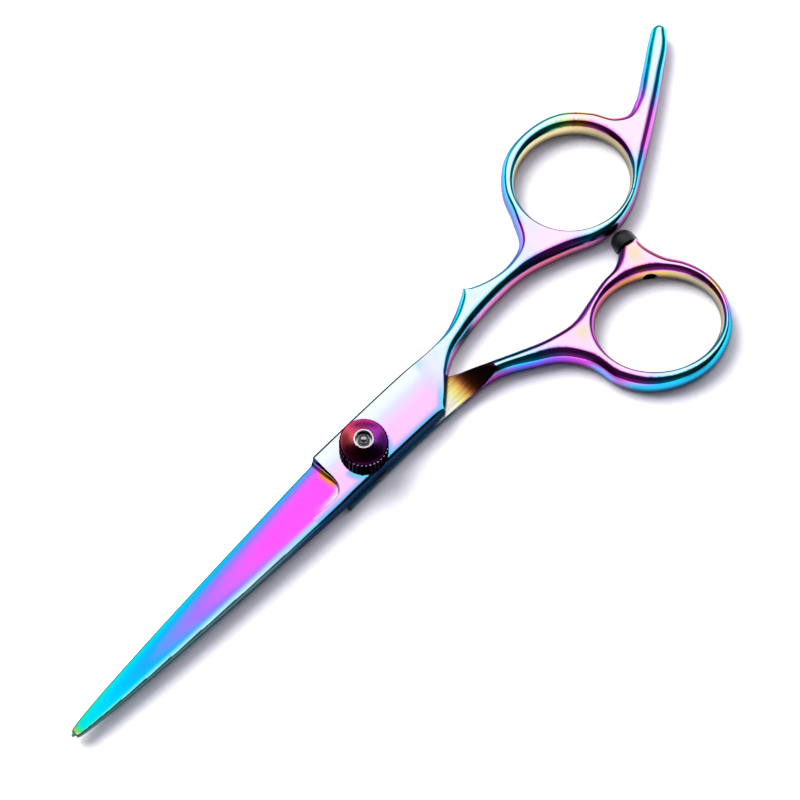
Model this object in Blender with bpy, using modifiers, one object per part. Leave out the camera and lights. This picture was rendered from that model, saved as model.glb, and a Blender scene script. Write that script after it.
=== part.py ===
"""Thinning shears with an offset handle, a fixed finger rest and a pivot tension dial.

Each half is forged in one piece: blade, pivot plate, shank and ring.  The frame's origin lies
on the pivot axis at the rear face of the pivot screw.  +X runs from the blade tips to the
rings, +Y to the finger ring, +Z from the rear (thumb) half to the dial.  The shears are closed.
Dimensions below are in millimetres and are turned into metres where geometry is made.
"""
import math

import bmesh
import bpy
from mathutils import Matrix, Vector

MM = 0.001
WELD = 0.000002                 # merge distance in metres for curve caps and turned seams

# Thickness, measured along Z
PLATE = 3.0                     # each half at the pivot
HANDLE = 2 * PLATE              # shanks and rings
PLAY = 0.2                      # gap between the two halves
THUMB_FACE = PLATE - PLAY / 2   # inner face of the rear half
FINGER_FACE = PLATE + PLAY / 2  # inner face of the front half
EDGE_ROUND = 0.9                # rounding of the handle's edges

# Blades
TIP_X = -73.0
HEEL_X = -10.0                  # where the ground blade has reached its full width
BLADE_END_X = -4.0              # the blade blanks run this far into the plates
THUMB_TIP_PROUD = 0.4           # the rear tip stands this far past the front one
THUMB_SPINE_INSET = 0.35        # rear spine, inside the front blade's edge
TOOTH_TIP_INSET = 0.8           # tooth tips, inside the front blade's spine

# Thinning teeth
SLOT_COUNT = 28
SLOT_PITCH = 2.0
SLOT_WIDTH = 1.0
FIRST_SLOT_X = -67.5
SLOT_DEPTH_SHARE = 0.6          # of the rear blade's width

# The neck, where each half grows from plate to full thickness
NECK_X = 20.5
NECK_RADIUS = 12.2

# The tang thins towards its tip
TANG_START_X = 78.0
TANG_END_X = 99.5
TANG_TIP_SHARE = 0.5            # of the handle's thickness

# Pivot, as radii and heights
HEAD_R = 4.2
HEAD_TOP = 1.0
JOURNAL_R = 2.4
BUSH_OUTER_R = 2.95
WASHER_R = 5.0
NECK_R = 2.05
NECK_FLAT = 1.65                # half the distance across the screw's two flats
NECK_TOP = 5.3
THREAD_R = 1.6
RUNNING_FIT = 0.05
SEAT_R = 3.8                    # recess under the dial
SEAT_FLOOR = 4.6
SPANNER_HOLE_X = 2.7
SPANNER_HOLE_R = 0.45

# Tension dial
DIAL_R = 4.5
DIAL_FOOT = 6.15
DIAL_SHOULDER = 12.3
DIAL_TOP = 14.0
INSERT_R = 1.95
KNURL_COUNT = 36
KNURL_R = 0.26

# Bumper: its seat on the thumb ring's boss, and the direction it points in
BUMPER_SEAT = (63.05, -5.7, PLATE)
BUMPER_ANGLE = 79.0             # degrees from +X
BUMPER_R = 2.4
BUMPER_LENGTH = 3.3
STUD_R = 1.15

# Outlines seen from the dial side: x, y, and whether the outline turns a corner there
FINGER_OUTLINE = [
    (-7.1, 6.15, True), (8.0, 6.15, False), (16.0, 5.85, False), (23.5, 5.3, False),
    (29.6, 6.3, False), (35.3, 9.5, True), (39.5, 7.7, False), (44.4, 7.0, False),
    (48.4, 7.9, False), (51.2, 11.5, False), (53.4, 17.5, False), (58.6, 22.4, False),
    (66.0, 23.4, False), (73.0, 21.3, False), (77.6, 16.6, False), (80.4, 12.75, False),
    (84.0, 12.8, False), (90.0, 16.2, False), (97.3, 20.8, False), (99.35, 20.4, False),
    (98.9, 18.3, False), (92.0, 12.85, False), (84.0, 7.35, False), (76.0, 2.5, False),
    (70.0, -0.95, False), (65.0, -2.1, False), (60.0, -1.5, False), (54.0, 1.0, False),
    (46.0, 3.5, False), (38.0, 3.8, False), (30.0, 2.95, False), (25.0, 1.7, False),
    (22.0, 0.1, True), (16.2, -4.8, True), (-7.1, -4.55, True),
]
THUMB_OUTLINE = [
    (-8.4, 5.4, True), (15.5, 5.8, True), (22.0, 0.0, True), (28.0, -2.95, False),
    (34.0, -5.6, False), (40.0, -8.0, False), (45.3, -9.0, False), (50.0, -8.15, False),
    (54.5, -7.3, False), (58.4, -7.0, False), (61.0, -5.3, True), (65.1, -6.1, True),
    (65.3, -8.8, False), (66.6, -12.2, False), (68.7, -15.5, False), (69.8, -20.0, False),
    (68.9, -25.5, False), (65.0, -30.5, False), (58.0, -33.05, False), (50.5, -31.5, False),
    (44.8, -27.0, False), (42.0, -22.0, False), (41.3, -17.0, False), (39.0, -13.5, False),
    (34.0, -9.8, False), (28.5, -6.75, False), (22.0, -5.6, False), (16.0, -5.2, False),
    (-8.4, -4.95, True),
]

# Ring holes: centre x and y, long and short half-axis, tilt of the long one in degrees
FINGER_HOLE = (64.9, 10.35, 10.65, 9.7, -23.0)
THUMB_HOLE = (55.85, -19.85, 11.6, 9.3, -35.0)

CURVE_STEPS = 3                 # mesh edges for each outline point
TURN_STEPS = 48


# ---------------------------------------------------------------- scene and materials

def clear_scene():
    """Remove every object of the scene."""
    for obj in list(bpy.data.objects):
        bpy.data.objects.remove(obj, do_unlink=True)


def new_collection(name):
    """A collection linked to the scene."""
    made = bpy.data.collections.new(name)
    bpy.context.scene.collection.children.link(made)
    return made


def new_material(name, colour, roughness, metallic):
    """A Principled material of one colour."""
    made = bpy.data.materials.new(name)
    made.use_nodes = True
    shader = made.node_tree.nodes["Principled BSDF"]
    shader.inputs["Base Color"].default_value = (*colour, 1.0)
    shader.inputs["Roughness"].default_value = roughness
    shader.inputs["Metallic"].default_value = metallic
    return made


clear_scene()
PARTS = new_collection("thinning_shears")
CUTTERS = new_collection("cutters")

COAT = new_material("rainbow_coat", (0.45, 0.55, 0.85), 0.12, 1.0)
DIAL_COAT = new_material("dial_coat", (0.30, 0.05, 0.30), 0.15, 1.0)
STEEL = new_material("steel", (0.62, 0.62, 0.64), 0.18, 1.0)
SPRING_STEEL = new_material("spring_steel", (0.40, 0.41, 0.43), 0.3, 1.0)
BRONZE = new_material("bronze", (0.62, 0.42, 0.20), 0.35, 1.0)
POLYMER = new_material("polymer", (0.75, 0.74, 0.70), 0.45, 0.0)
RUBBER = new_material("rubber", (0.012, 0.012, 0.014), 0.6, 0.0)


# ---------------------------------------------------------------- shape helpers

def mesh_object(name, mesh, collection):
    """Link a mesh as a new object."""
    obj = bpy.data.objects.new(name, mesh)
    collection.objects.link(obj)
    return obj


def as_part(obj, material):
    """Give a finished sub-part its material and smooth shading with sharp edges."""
    obj.data.materials.clear()
    obj.data.materials.append(material)
    obj.data.shade_smooth()
    obj.data.set_sharp_from_angle(angle=math.radians(35))
    return obj


def as_cutter(obj):
    """Mark an object as a tool for Boolean modifiers."""
    obj.hide_render = True
    obj.display_type = 'WIRE'
    return obj


def add_boolean(obj, tool, operation):
    """Join a tool to an object, or cut it away."""
    modifier = obj.modifiers.new(operation.lower() + "_" + tool.name, 'BOOLEAN')
    modifier.operation = operation
    modifier.solver = 'EXACT'
    modifier.object = tool


def add_smooth_loop(curve, outline):
    """A closed Bezier loop through outline points, with corners where they are marked."""
    spline = curve.splines.new('BEZIER')
    spline.bezier_points.add(len(outline) - 1)
    spline.use_cyclic_u = True
    spline.resolution_u = CURVE_STEPS
    for point, (x, y, corner) in zip(spline.bezier_points, outline):
        point.co = (x * MM, y * MM, 0.0)
        kind = 'VECTOR' if corner else 'AUTO'
        point.handle_left_type = kind
        point.handle_right_type = kind


def add_straight_loop(curve, outline):
    """A closed loop of straight edges through x, y points."""
    spline = curve.splines.new('POLY')
    spline.points.add(len(outline) - 1)
    spline.use_cyclic_u = True
    for point, (x, y) in zip(spline.points, outline):
        point.co = (x * MM, y * MM, 0.0, 1.0)


def flat_curve(name, thickness, edge_round=0.0):
    """An empty 2D curve that fills its loops and is thick along its own Z."""
    curve = bpy.data.curves.new(name, 'CURVE')
    curve.dimensions = '2D'
    curve.fill_mode = 'BOTH'
    curve.extrude = (thickness / 2 - edge_round) * MM
    if edge_round:
        curve.bevel_depth = edge_round * MM
        curve.bevel_resolution = 1
        curve.offset = -edge_round * MM
    return curve


def mesh_from_curve(name, curve, matrix, collection):
    """Turn a curve into a closed mesh object that stands where the matrix says."""
    source = bpy.data.objects.new(name + "_curve", curve)
    CUTTERS.objects.link(source)
    source.matrix_world = matrix
    bpy.context.view_layer.update()
    depsgraph = bpy.context.evaluated_depsgraph_get()
    mesh = bpy.data.meshes.new_from_object(source.evaluated_get(depsgraph))
    mesh.name = name
    welded = bmesh.new()
    welded.from_mesh(mesh)
    bmesh.ops.remove_doubles(welded, verts=welded.verts, dist=WELD)
    bmesh.ops.recalc_face_normals(welded, faces=welded.faces)
    welded.to_mesh(mesh)
    welded.free()
    obj = mesh_object(name, mesh, collection)
    obj.matrix_world = source.matrix_world.copy()
    bpy.data.objects.remove(source)
    return obj


def plate(name, loops, low, high, collection):
    """A plate between two heights whose outline and holes have straight edges."""
    curve = flat_curve(name, high - low)
    for loop in loops:
        add_straight_loop(curve, loop)
    middle = Matrix.Translation((0.0, 0.0, (low + high) / 2 * MM))
    return mesh_from_curve(name, curve, middle, collection)


def turned(name, profile, closed, collection, steps=TURN_STEPS):
    """A body turned about Z from radius, height points that run down its outer side."""
    mesh = bpy.data.meshes.new(name)
    shape = bmesh.new()
    corners = [shape.verts.new((radius * MM, 0.0, height * MM)) for radius, height in profile]
    for start, end in zip(corners, corners[1:]):
        shape.edges.new((start, end))
    if closed:
        shape.edges.new((corners[-1], corners[0]))
    shape.to_mesh(mesh)
    shape.free()
    obj = mesh_object(name, mesh, collection)
    screw = obj.modifiers.new("turn", 'SCREW')
    screw.axis = 'Z'
    screw.angle = math.tau
    screw.steps = steps
    screw.render_steps = steps
    screw.use_merge_vertices = True
    screw.merge_threshold = WELD
    return obj


def ring(name, inner_r, outer_r, low, high, collection=None):
    """A flat or tubular ring of rectangular section."""
    profile = [(outer_r, high), (outer_r, low), (inner_r, low), (inner_r, high)]
    return turned(name, profile, True, collection or PARTS)


def loft(name, sections, collection):
    """A closed body through sections of equal point count, each a list of x, y, z."""
    mesh = bpy.data.meshes.new(name)
    shape = bmesh.new()
    rows = [[shape.verts.new(Vector(point) * MM) for point in section] for section in sections]
    count = len(rows[0])
    for row, following in zip(rows, rows[1:]):
        for index in range(count):
            after = (index + 1) % count
            shape.faces.new((row[index], row[after], following[after], following[index]))
    shape.faces.new(rows[0])
    shape.faces.new(list(reversed(rows[-1])))
    bmesh.ops.recalc_face_normals(shape, faces=shape.faces)
    shape.to_mesh(mesh)
    shape.free()
    return mesh_object(name, mesh, collection)


def arc(centre_x, centre_y, radius, start, end, count):
    """Points along an arc, angles in degrees."""
    angles = [math.radians(start + (end - start) * step / count) for step in range(count + 1)]
    return [(centre_x + radius * math.cos(a), centre_y + radius * math.sin(a)) for a in angles]


def oval(centre_x, centre_y, long_half, short_half, tilt, count=16):
    """Smooth outline points of a tilted ellipse."""
    cosine = math.cos(math.radians(tilt))
    sine = math.sin(math.radians(tilt))
    points = []
    for step in range(count):
        along = long_half * math.cos(math.tau * step / count)
        across = short_half * math.sin(math.tau * step / count)
        x = centre_x + along * cosine - across * sine
        y = centre_y + along * sine + across * cosine
        points.append((x, y, False))
    return points


def double_flat(radius, flat):
    """Outline of a round bar with two flats, at plus and minus flat along Y."""
    half = math.degrees(math.asin(flat / radius))
    return arc(0, 0, radius, -half, half, 8) + arc(0, 0, radius, 180 - half, 180 + half, 8)


# ---------------------------------------------------------------- the two halves

def blade_share(x):
    """0 at the front tip, 1 at the heel."""
    return min(max((x - TIP_X) / (HEEL_X - TIP_X), 0.0), 1.0)


def front_edge_y(x):
    """Cutting edge of the front blade."""
    return 1.0 + 4.6 * blade_share(x) ** 0.68


def front_spine_y(x):
    """Spine of the front blade."""
    return -0.75 - 3.8 * blade_share(x) ** 0.65


def blade_crest(x):
    """Height of the blade's outer crest above its flat inner face."""
    return 0.9 + 1.9 * blade_share(x)


def blade_section(x, edge_y, spine_y, mirrored):
    """D-shaped section of a blade blank, wide of the inner face, which is cut flat later."""
    toward_edge = edge_y - spine_y
    crest = blade_crest(x)
    outline = [
        (edge_y, -1.0), (edge_y, 0.25), (spine_y + 0.62 * toward_edge, 0.25 + 0.62 * crest),
        (spine_y + 0.28 * toward_edge, crest), (spine_y + 0.09 * toward_edge, 0.82 * crest),
        (spine_y, 0.4 * crest), (spine_y, -1.0),
    ]
    if mirrored:
        return [(x, y, THUMB_FACE - height) for y, height in outline]
    return [(x, y, FINGER_FACE + height) for y, height in outline]


def finger_blank():
    """Plain front blade, cutting edge on +Y."""
    stations = [TIP_X, TIP_X + 0.8, -66.0, -56.0, -44.0, -31.0, -18.0, HEEL_X, BLADE_END_X]
    sections = [blade_section(x, front_edge_y(x), front_spine_y(x), False) for x in stations]
    return as_cutter(loft("finger_blade_blank", sections, CUTTERS))


def tooth_tip_y(x):
    """Line of the rear blade's tooth tips, just inside the front spine."""
    return front_spine_y(x) + TOOTH_TIP_INSET


def thumb_spine_y(x):
    """Spine of the rear blade, just inside the front edge."""
    return front_edge_y(x) - THUMB_SPINE_INSET


def thumb_blank():
    """Rear blade before its slots are cut, cutting edge on -Y."""
    stations = [TIP_X - THUMB_TIP_PROUD, TIP_X + 0.8, -66.0, -56.0, -44.0, -31.0, -18.0,
                HEEL_X, BLADE_END_X]
    sections = [blade_section(x, tooth_tip_y(x), thumb_spine_y(x), True) for x in stations]
    return as_cutter(loft("thumb_blade_blank", sections, CUTTERS))


def slot_cutter():
    """Round-ended slots between the thinning teeth."""
    curve = flat_curve("tooth_slots", HANDLE)
    radius = SLOT_WIDTH / 2
    for index in range(SLOT_COUNT):
        x = FIRST_SLOT_X + index * SLOT_PITCH
        tips = tooth_tip_y(x)
        end = tips + SLOT_DEPTH_SHARE * (thumb_spine_y(x) - tips) - radius
        mouth = [(x - radius, tips - 2.0), (x + radius, tips - 2.0)]
        add_straight_loop(curve, mouth + arc(x, end, radius, 0, 180, 4))
    middle = Matrix.Translation((0.0, 0.0, THUMB_FACE * MM))
    return as_cutter(mesh_from_curve("tooth_slots", curve, middle, CUTTERS))


def neck_cutter(name, mirrored):
    """Everything past a half's inner face, ending in the hollow curve of its neck."""
    sweep = math.degrees(math.acos(1.0 - 1.6 * PLATE / NECK_RADIUS))
    curved = arc(NECK_X, THUMB_FACE + NECK_RADIUS, NECK_RADIUS, -90, -90 + sweep, 8)
    outer = 2 * HANDLE
    profile = [(TIP_X - 10, THUMB_FACE)] + curved + [(curved[-1][0], outer)]
    profile.append((TIP_X - 10, outer))
    if mirrored:
        profile = [(x, HANDLE - z) for x, z in profile]
    curve = flat_curve(name, 60.0)
    add_straight_loop(curve, profile)
    upright = Matrix.Rotation(math.radians(90), 4, 'X')
    return as_cutter(mesh_from_curve(name, curve, upright, CUTTERS))


def handle(name, outline, hole):
    """Plate, shank and ring of one half at the handle's full thickness."""
    curve = flat_curve(name, HANDLE, EDGE_ROUND)
    add_smooth_loop(curve, outline)
    add_smooth_loop(curve, oval(*hole))
    middle = Matrix.Translation((0.0, 0.0, HANDLE / 2 * MM))
    return mesh_from_curve(name, curve, middle, PARTS)


def thin_tang(obj):
    """Thin the tang evenly from the ring to its tip."""
    for vertex in obj.data.vertices:
        along = (vertex.co.x / MM - TANG_START_X) / (TANG_END_X - TANG_START_X)
        if along > 0:
            vertex.co.z *= 1.0 - (1.0 - TANG_TIP_SHARE) * along


def finger_blade():
    """Front half: plain blade, plate, crowned shank, finger ring and tang."""
    obj = handle("finger_blade", FINGER_OUTLINE, FINGER_HOLE)
    thin_tang(obj)
    add_boolean(obj, finger_blank(), 'UNION')
    add_boolean(obj, neck_cutter("finger_neck", True), 'DIFFERENCE')
    seat = [(0, 9), (SEAT_R, 9), (SEAT_R, SEAT_FLOOR), (0, SEAT_FLOOR)]
    add_boolean(obj, as_cutter(turned("dial_seat", seat, False, CUTTERS)), 'DIFFERENCE')
    keyway = double_flat(NECK_R + RUNNING_FIT, NECK_FLAT + RUNNING_FIT)
    add_boolean(obj, as_cutter(plate("keyway", [keyway], 0, 9, CUTTERS)), 'DIFFERENCE')
    return as_part(obj, COAT)


def stud_matrix():
    """Places a body turned about Z on the bumper's axis, its zero at the boss face."""
    place = Matrix.Translation(Vector(BUMPER_SEAT) * MM)
    heading = Matrix.Rotation(math.radians(BUMPER_ANGLE), 4, 'Z')
    return place @ heading @ Matrix.Rotation(math.radians(90), 4, 'Y')


def thumb_blade():
    """Rear half: toothed blade, plate, shank and thumb ring with the bumper's boss."""
    obj = handle("thumb_blade", THUMB_OUTLINE, THUMB_HOLE)
    add_boolean(obj, thumb_blank(), 'UNION')
    add_boolean(obj, neck_cutter("thumb_neck", False), 'DIFFERENCE')
    add_boolean(obj, slot_cutter(), 'DIFFERENCE')
    bush_r = BUSH_OUTER_R + RUNNING_FIT
    recess_r = WASHER_R + 2 * RUNNING_FIT
    head_r = HEAD_R + 2 * RUNNING_FIT
    bore = [(0, 9), (recess_r, 9), (recess_r, 2.4), (bush_r, 2.4), (bush_r, 1.1),
            (head_r, 1.1), (head_r, -1), (0, -1)]
    add_boolean(obj, as_cutter(turned("pivot_bore", bore, False, CUTTERS)), 'DIFFERENCE')
    hole_r = STUD_R + 2 * RUNNING_FIT
    hole = as_cutter(turned("stud_hole", [(0, 2), (hole_r, 2), (hole_r, -9), (0, -9)], False,
                            CUTTERS, 16))
    hole.matrix_world = stud_matrix()
    add_boolean(obj, hole, 'DIFFERENCE')
    return as_part(obj, COAT)


# ---------------------------------------------------------------- pivot and dial

def spanner_holes():
    """Two blind holes in the rear face of the screw, for a pin spanner."""
    shape = bmesh.new()
    for side in (-1, 1):
        place = Matrix.Translation((side * SPANNER_HOLE_X * MM, 0.0, 0.0))
        bmesh.ops.create_cone(shape, cap_ends=True, segments=12, radius1=SPANNER_HOLE_R * MM,
                              radius2=SPANNER_HOLE_R * MM, depth=HEAD_TOP * MM, matrix=place)
    mesh = bpy.data.meshes.new("spanner_holes")
    shape.to_mesh(mesh)
    shape.free()
    return as_cutter(mesh_object("spanner_holes", mesh, CUTTERS))


def flats_cutter():
    """Two blocks that cut the flats on the screw's neck."""
    shape = bmesh.new()
    height = NECK_TOP - FINGER_FACE + PLAY
    for side in (-1, 1):
        centre = (0.0, side * (NECK_FLAT + 1.0) * MM, (FINGER_FACE + height / 2) * MM)
        block = bmesh.ops.create_cube(shape, size=1.0)
        bmesh.ops.scale(shape, verts=block["verts"], vec=(6 * MM, 2 * MM, height * MM))
        bmesh.ops.translate(shape, verts=block["verts"], vec=centre)
    mesh = bpy.data.meshes.new("neck_flats")
    shape.to_mesh(mesh)
    shape.free()
    return as_cutter(mesh_object("neck_flats", mesh, CUTTERS))


def pivot_screw():
    """Flush round head, journal, neck with two flats, threaded end with a domed tip."""
    shoulder = FINGER_FACE - RUNNING_FIT
    profile = [(0, 13.55), (0.55, 13.45), (1.0, 13.15), (1.35, 12.7), (1.45, 12.2),
               (THREAD_R, 12.05), (THREAD_R, NECK_TOP), (NECK_R, NECK_TOP), (NECK_R, shoulder),
               (JOURNAL_R, shoulder), (JOURNAL_R, HEAD_TOP), (HEAD_R, HEAD_TOP),
               (HEAD_R, 0.15), (HEAD_R - 0.15, 0), (0, 0)]
    obj = turned("pivot_screw", profile, False, PARTS)
    add_boolean(obj, flats_cutter(), 'DIFFERENCE')
    add_boolean(obj, spanner_holes(), 'DIFFERENCE')
    return as_part(obj, STEEL)


def pivot_bush():
    """Sleeve pressed into the thumb half that turns on the screw's journal."""
    return as_part(ring("pivot_bush", JOURNAL_R + RUNNING_FIT, BUSH_OUTER_R, 1.2, 2.35), BRONZE)


def ride_washer():
    """Washer between the halves, let into the thumb half."""
    return as_part(ring("ride_washer", JOURNAL_R + 0.2, WASHER_R, 2.5, 3.0), POLYMER)


def click_plate():
    """Plate held from turning by the screw's flats, in the recess under the dial."""
    outer = arc(0, 0, SEAT_R - 0.2, 0, 352.5, 47)
    keyed = double_flat(NECK_R + 2 * RUNNING_FIT, NECK_FLAT + 2 * RUNNING_FIT)
    return as_part(plate("click_plate", [outer, keyed], 4.7, 5.1, PARTS), SPRING_STEEL)


def spring_washer():
    """Dished spring washer, highest at its inner edge."""
    profile = [(SEAT_R - 0.3, 5.45), (SEAT_R - 0.3, 5.2), (2.2, 5.4), (2.2, 5.65)]
    return as_part(turned("spring_washer", profile, True, PARTS), SPRING_STEEL)


def friction_washer():
    """Polymer washer that the dial turns on."""
    return as_part(ring("friction_washer", THREAD_R + 0.2, SEAT_R - 0.3, 5.75, 6.05), POLYMER)


def knurl_cutter():
    """Grooves of the dial's straight knurling."""
    shape = bmesh.new()
    height = DIAL_SHOULDER - DIAL_FOOT + 1.0
    for index in range(KNURL_COUNT):
        turn = Matrix.Rotation(math.tau * index / KNURL_COUNT, 4, 'Z')
        place = Matrix.Translation(((DIAL_R + 0.08) * MM, 0.0, (DIAL_FOOT + height / 2 - 0.8) * MM))
        bmesh.ops.create_cone(shape, cap_ends=True, segments=6, radius1=KNURL_R * MM,
                              radius2=KNURL_R * MM, depth=height * MM, matrix=turn @ place)
    mesh = bpy.data.meshes.new("knurl_grooves")
    shape.to_mesh(mesh)
    shape.free()
    return as_cutter(mesh_object("knurl_grooves", mesh, CUTTERS))


def tension_dial():
    """Tall knurled dial with a domed top."""
    bore = INSERT_R + RUNNING_FIT
    profile = [(bore, DIAL_TOP), (2.6, DIAL_TOP - 0.08), (3.3, 13.65), (3.9, 13.1),
               (4.3, 12.55), (4.4, DIAL_SHOULDER), (DIAL_R, DIAL_SHOULDER - 0.15),
               (DIAL_R, DIAL_FOOT + 0.25), (DIAL_R - 0.25, DIAL_FOOT), (bore, DIAL_FOOT)]
    obj = turned("tension_dial", profile, True, PARTS, 72)
    add_boolean(obj, knurl_cutter(), 'DIFFERENCE')
    return as_part(obj, DIAL_COAT)


def dial_insert():
    """Threaded insert of the dial; its rim is the bright ring on top."""
    thread = THREAD_R + RUNNING_FIT
    profile = [(thread + 0.12, DIAL_TOP + 0.05), (INSERT_R - 0.08, DIAL_TOP + 0.05),
               (INSERT_R, DIAL_TOP - 0.03), (INSERT_R, DIAL_FOOT + 0.3),
               (thread, DIAL_FOOT + 0.3), (thread, DIAL_TOP - 0.1)]
    return as_part(turned("dial_insert", profile, True, PARTS), STEEL)


# ---------------------------------------------------------------- bumper

def bumper():
    """Rubber stop on the boss, hollow for its stud."""
    socket = STUD_R + 2 * RUNNING_FIT
    tip = BUMPER_LENGTH
    profile = [(0, tip), (1.5, tip), (2.1, tip - 0.3), (BUMPER_R, tip - 0.9),
               (BUMPER_R, 0.15), (socket, 0.15), (socket, 1.8), (0, 1.8)]
    obj = turned("bumper", profile, False, PARTS, 32)
    obj.matrix_world = stud_matrix()
    return as_part(obj, RUBBER)


def bumper_screw():
    """Stud that holds the bumper, its slotted end inside the boss."""
    profile = [(0, 1.6), (STUD_R, 1.6), (STUD_R, -4.6), (STUD_R - 0.2, -4.8), (0, -4.8)]
    obj = turned("bumper_screw", profile, False, PARTS, 16)
    obj.matrix_world = stud_matrix()
    return as_part(obj, STEEL)


def build():
    """Make every sub-part, placed as in the closed shears."""
    pivot = bpy.data.objects.new("pivot_axis", None)
    PARTS.objects.link(pivot)
    finger_blade()
    thumb_half = [thumb_blade(), pivot_bush(), ride_washer(), bumper(), bumper_screw()]
    for obj in thumb_half:
        placed = obj.matrix_world.copy()
        obj.parent = pivot
        obj.matrix_world = placed
    pivot_screw()
    click_plate()
    spring_washer()
    friction_washer()
    tension_dial()
    dial_insert()


build()
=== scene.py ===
"""Looks of the thinning shears: mirror-polished steel with a rainbow coat, on a pale floor."""
import math

import bmesh
import bpy
import numpy as np
from mathutils import Matrix, Vector
from mathutils.geometry import delaunay_2d_cdt


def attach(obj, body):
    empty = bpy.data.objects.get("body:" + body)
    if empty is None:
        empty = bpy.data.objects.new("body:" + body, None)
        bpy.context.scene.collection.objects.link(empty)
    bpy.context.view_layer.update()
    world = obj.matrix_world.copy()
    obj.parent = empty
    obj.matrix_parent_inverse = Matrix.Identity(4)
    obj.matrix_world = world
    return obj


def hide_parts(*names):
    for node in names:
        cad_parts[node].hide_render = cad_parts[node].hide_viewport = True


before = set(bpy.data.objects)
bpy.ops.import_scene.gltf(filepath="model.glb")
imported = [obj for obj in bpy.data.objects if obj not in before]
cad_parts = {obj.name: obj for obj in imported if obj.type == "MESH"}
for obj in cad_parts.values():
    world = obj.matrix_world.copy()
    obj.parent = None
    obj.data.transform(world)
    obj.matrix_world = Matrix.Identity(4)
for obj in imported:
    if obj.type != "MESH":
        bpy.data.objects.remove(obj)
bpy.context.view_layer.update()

MM = 0.001

# ---------------------------------------------------------------- sizes, in millimetres

MID = 3.0                # height of the plane between the halves
HALF = 3.0               # thickness of each half, and half the thickness of a handle
PLAY = 0.1               # from the mid plane to each half's inner face
RIM = 0.14               # rounding at the foot of the plates' sides
NECK_X = 20.5            # where a half starts to grow past the mid plane
NECK_RADIUS = 12.2
TIP_X = -73.0
HEEL_X = -10.0
STEP_END_X = -16.0       # where the step between plate and blade runs out
UNDERCUT = 0.25          # a handle's rounder side stays this far off its full thickness
STEP_FILLET = 1.25       # at the foot of the step between plate and blade
CROWN_PLATE = 2.4        # squareness of the outer edges' rounding
CROWN_HANDLE = 2.1

# The camera and the length it sees, from the frame's own axes
CAMERA_AZIMUTH = -45.425
CAMERA_ELEVATION = 71.0
CAMERA_DISTANCE = 0.9
CAMERA_TARGET = (0.013201, 0.003872, 0.0)
CAMERA_LENS = 221.7

# Outlines from the dial side. Each point: x, y, and how wide the edge is rounded there.
# A stretch runs between two corners, and the material lies on its left.
FINGER_SPINE = [(-7.0, -4.55, 1.1), (4.0, -4.65, 1.05), (12.0, -4.75, 1.0), (16.2, -4.8, 0.9)]
FINGER_DIAGONAL = [(16.2, -4.8, 0.9), (19.0, -2.5, 0.9), (22.0, 0.1, 1.3)]
FINGER_INSIDE = [
    (22.0, 0.1, 1.3), (25.0, 1.75, 1.7), (30.0, 2.95, 1.9), (38.0, 3.8, 1.8), (46.0, 3.45, 1.9),
    (54.0, 1.0, 1.9), (60.0, -1.45, 1.4), (65.0, -2.1, 1.25), (70.0, -0.95, 1.4),
    (76.0, 2.5, 1.9), (84.0, 7.4, 2.1), (92.0, 12.85, 1.8), (98.75, 18.25, 1.45),
    (99.5, 19.4, 1.4), (99.1, 20.65, 1.4), (97.6, 20.95, 1.4), (96.0, 20.1, 1.5),
    (90.0, 16.25, 1.9), (84.5, 12.95, 2.0), (81.8, 12.15, 1.8), (79.6, 13.3, 1.6),
    (77.4, 16.9, 1.5), (73.0, 21.25, 1.4), (66.0, 23.2, 1.2), (59.0, 22.1, 1.1),
    (54.15, 17.8, 1.1), (51.85, 13.0, 1.2), (48.85, 8.4, 1.3), (44.5, 7.15, 1.15),
    (39.9, 7.7, 1.1), (35.3, 9.6, 1.2),
]
FINGER_BACK = [(35.3, 9.6, 1.2), (31.0, 7.45, 1.5), (27.4, 6.2, 1.2), (23.4, 5.75, 0.7),
               (16.0, 6.0, 0.35), (8.0, 6.14, 0.3), (-6.95, 6.15, 0.2)]
FINGER_HEEL = [(-6.95, 6.15, 0.2), (-7.35, 6.02, 0.15), (-7.9, 5.72, 0.12), (-8.6, 5.62, 0.12)]

THUMB_INSIDE = [
    (22.0, 0.0, 1.3), (24.5, -1.4, 1.6), (28.0, -2.95, 1.8), (34.0, -5.6, 1.7),
    (40.0, -8.0, 1.6), (45.3, -9.0, 1.6), (50.0, -8.2, 1.4), (54.5, -7.35, 1.2),
    (58.2, -7.05, 1.3), (59.9, -6.25, 1.4), (61.15, -5.4, 1.3),
]
THUMB_BOSS = [(61.15, -5.4, 1.3), (62.0, -5.15, 1.2), (63.1, -5.3, 1.2), (64.2, -5.6, 1.2),
              (64.85, -6.2, 1.3)]
THUMB_OUTSIDE = [
    (64.85, -6.2, 1.3), (65.1, -8.5, 1.5), (66.15, -11.9, 1.7), (68.2, -15.45, 1.6),
    (69.4, -20.2, 1.4), (68.5, -25.65, 1.25), (64.8, -30.6, 1.2), (58.0, -33.05, 1.25),
    (50.6, -31.5, 1.35), (45.0, -27.3, 1.6), (42.2, -22.3, 1.7), (41.3, -17.3, 1.8),
    (38.9, -13.3, 1.9), (34.0, -9.75, 1.9), (28.5, -6.8, 1.8), (22.0, -5.65, 1.5),
    (16.0, -5.2, 1.0), (-8.4, -4.95, 0.6),
]
THUMB_DIAGONAL = [(15.5, 5.8, 0.6), (18.8, 2.9, 0.9), (22.0, 0.0, 1.3)]
THUMB_BACK = [(15.5, 5.8, 0.6), (4.0, 5.75, 1.8), (-8.4, 5.45, 2.0)]

FINGER_HOLE = (65.0, 10.2, 10.75, 9.8, -23.0)
THUMB_HOLE = (55.95, -20.25, 11.6, 9.4, -35.0)
HOLE_ROUND = 1.2
HOLE_SWING = 0.35

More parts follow.
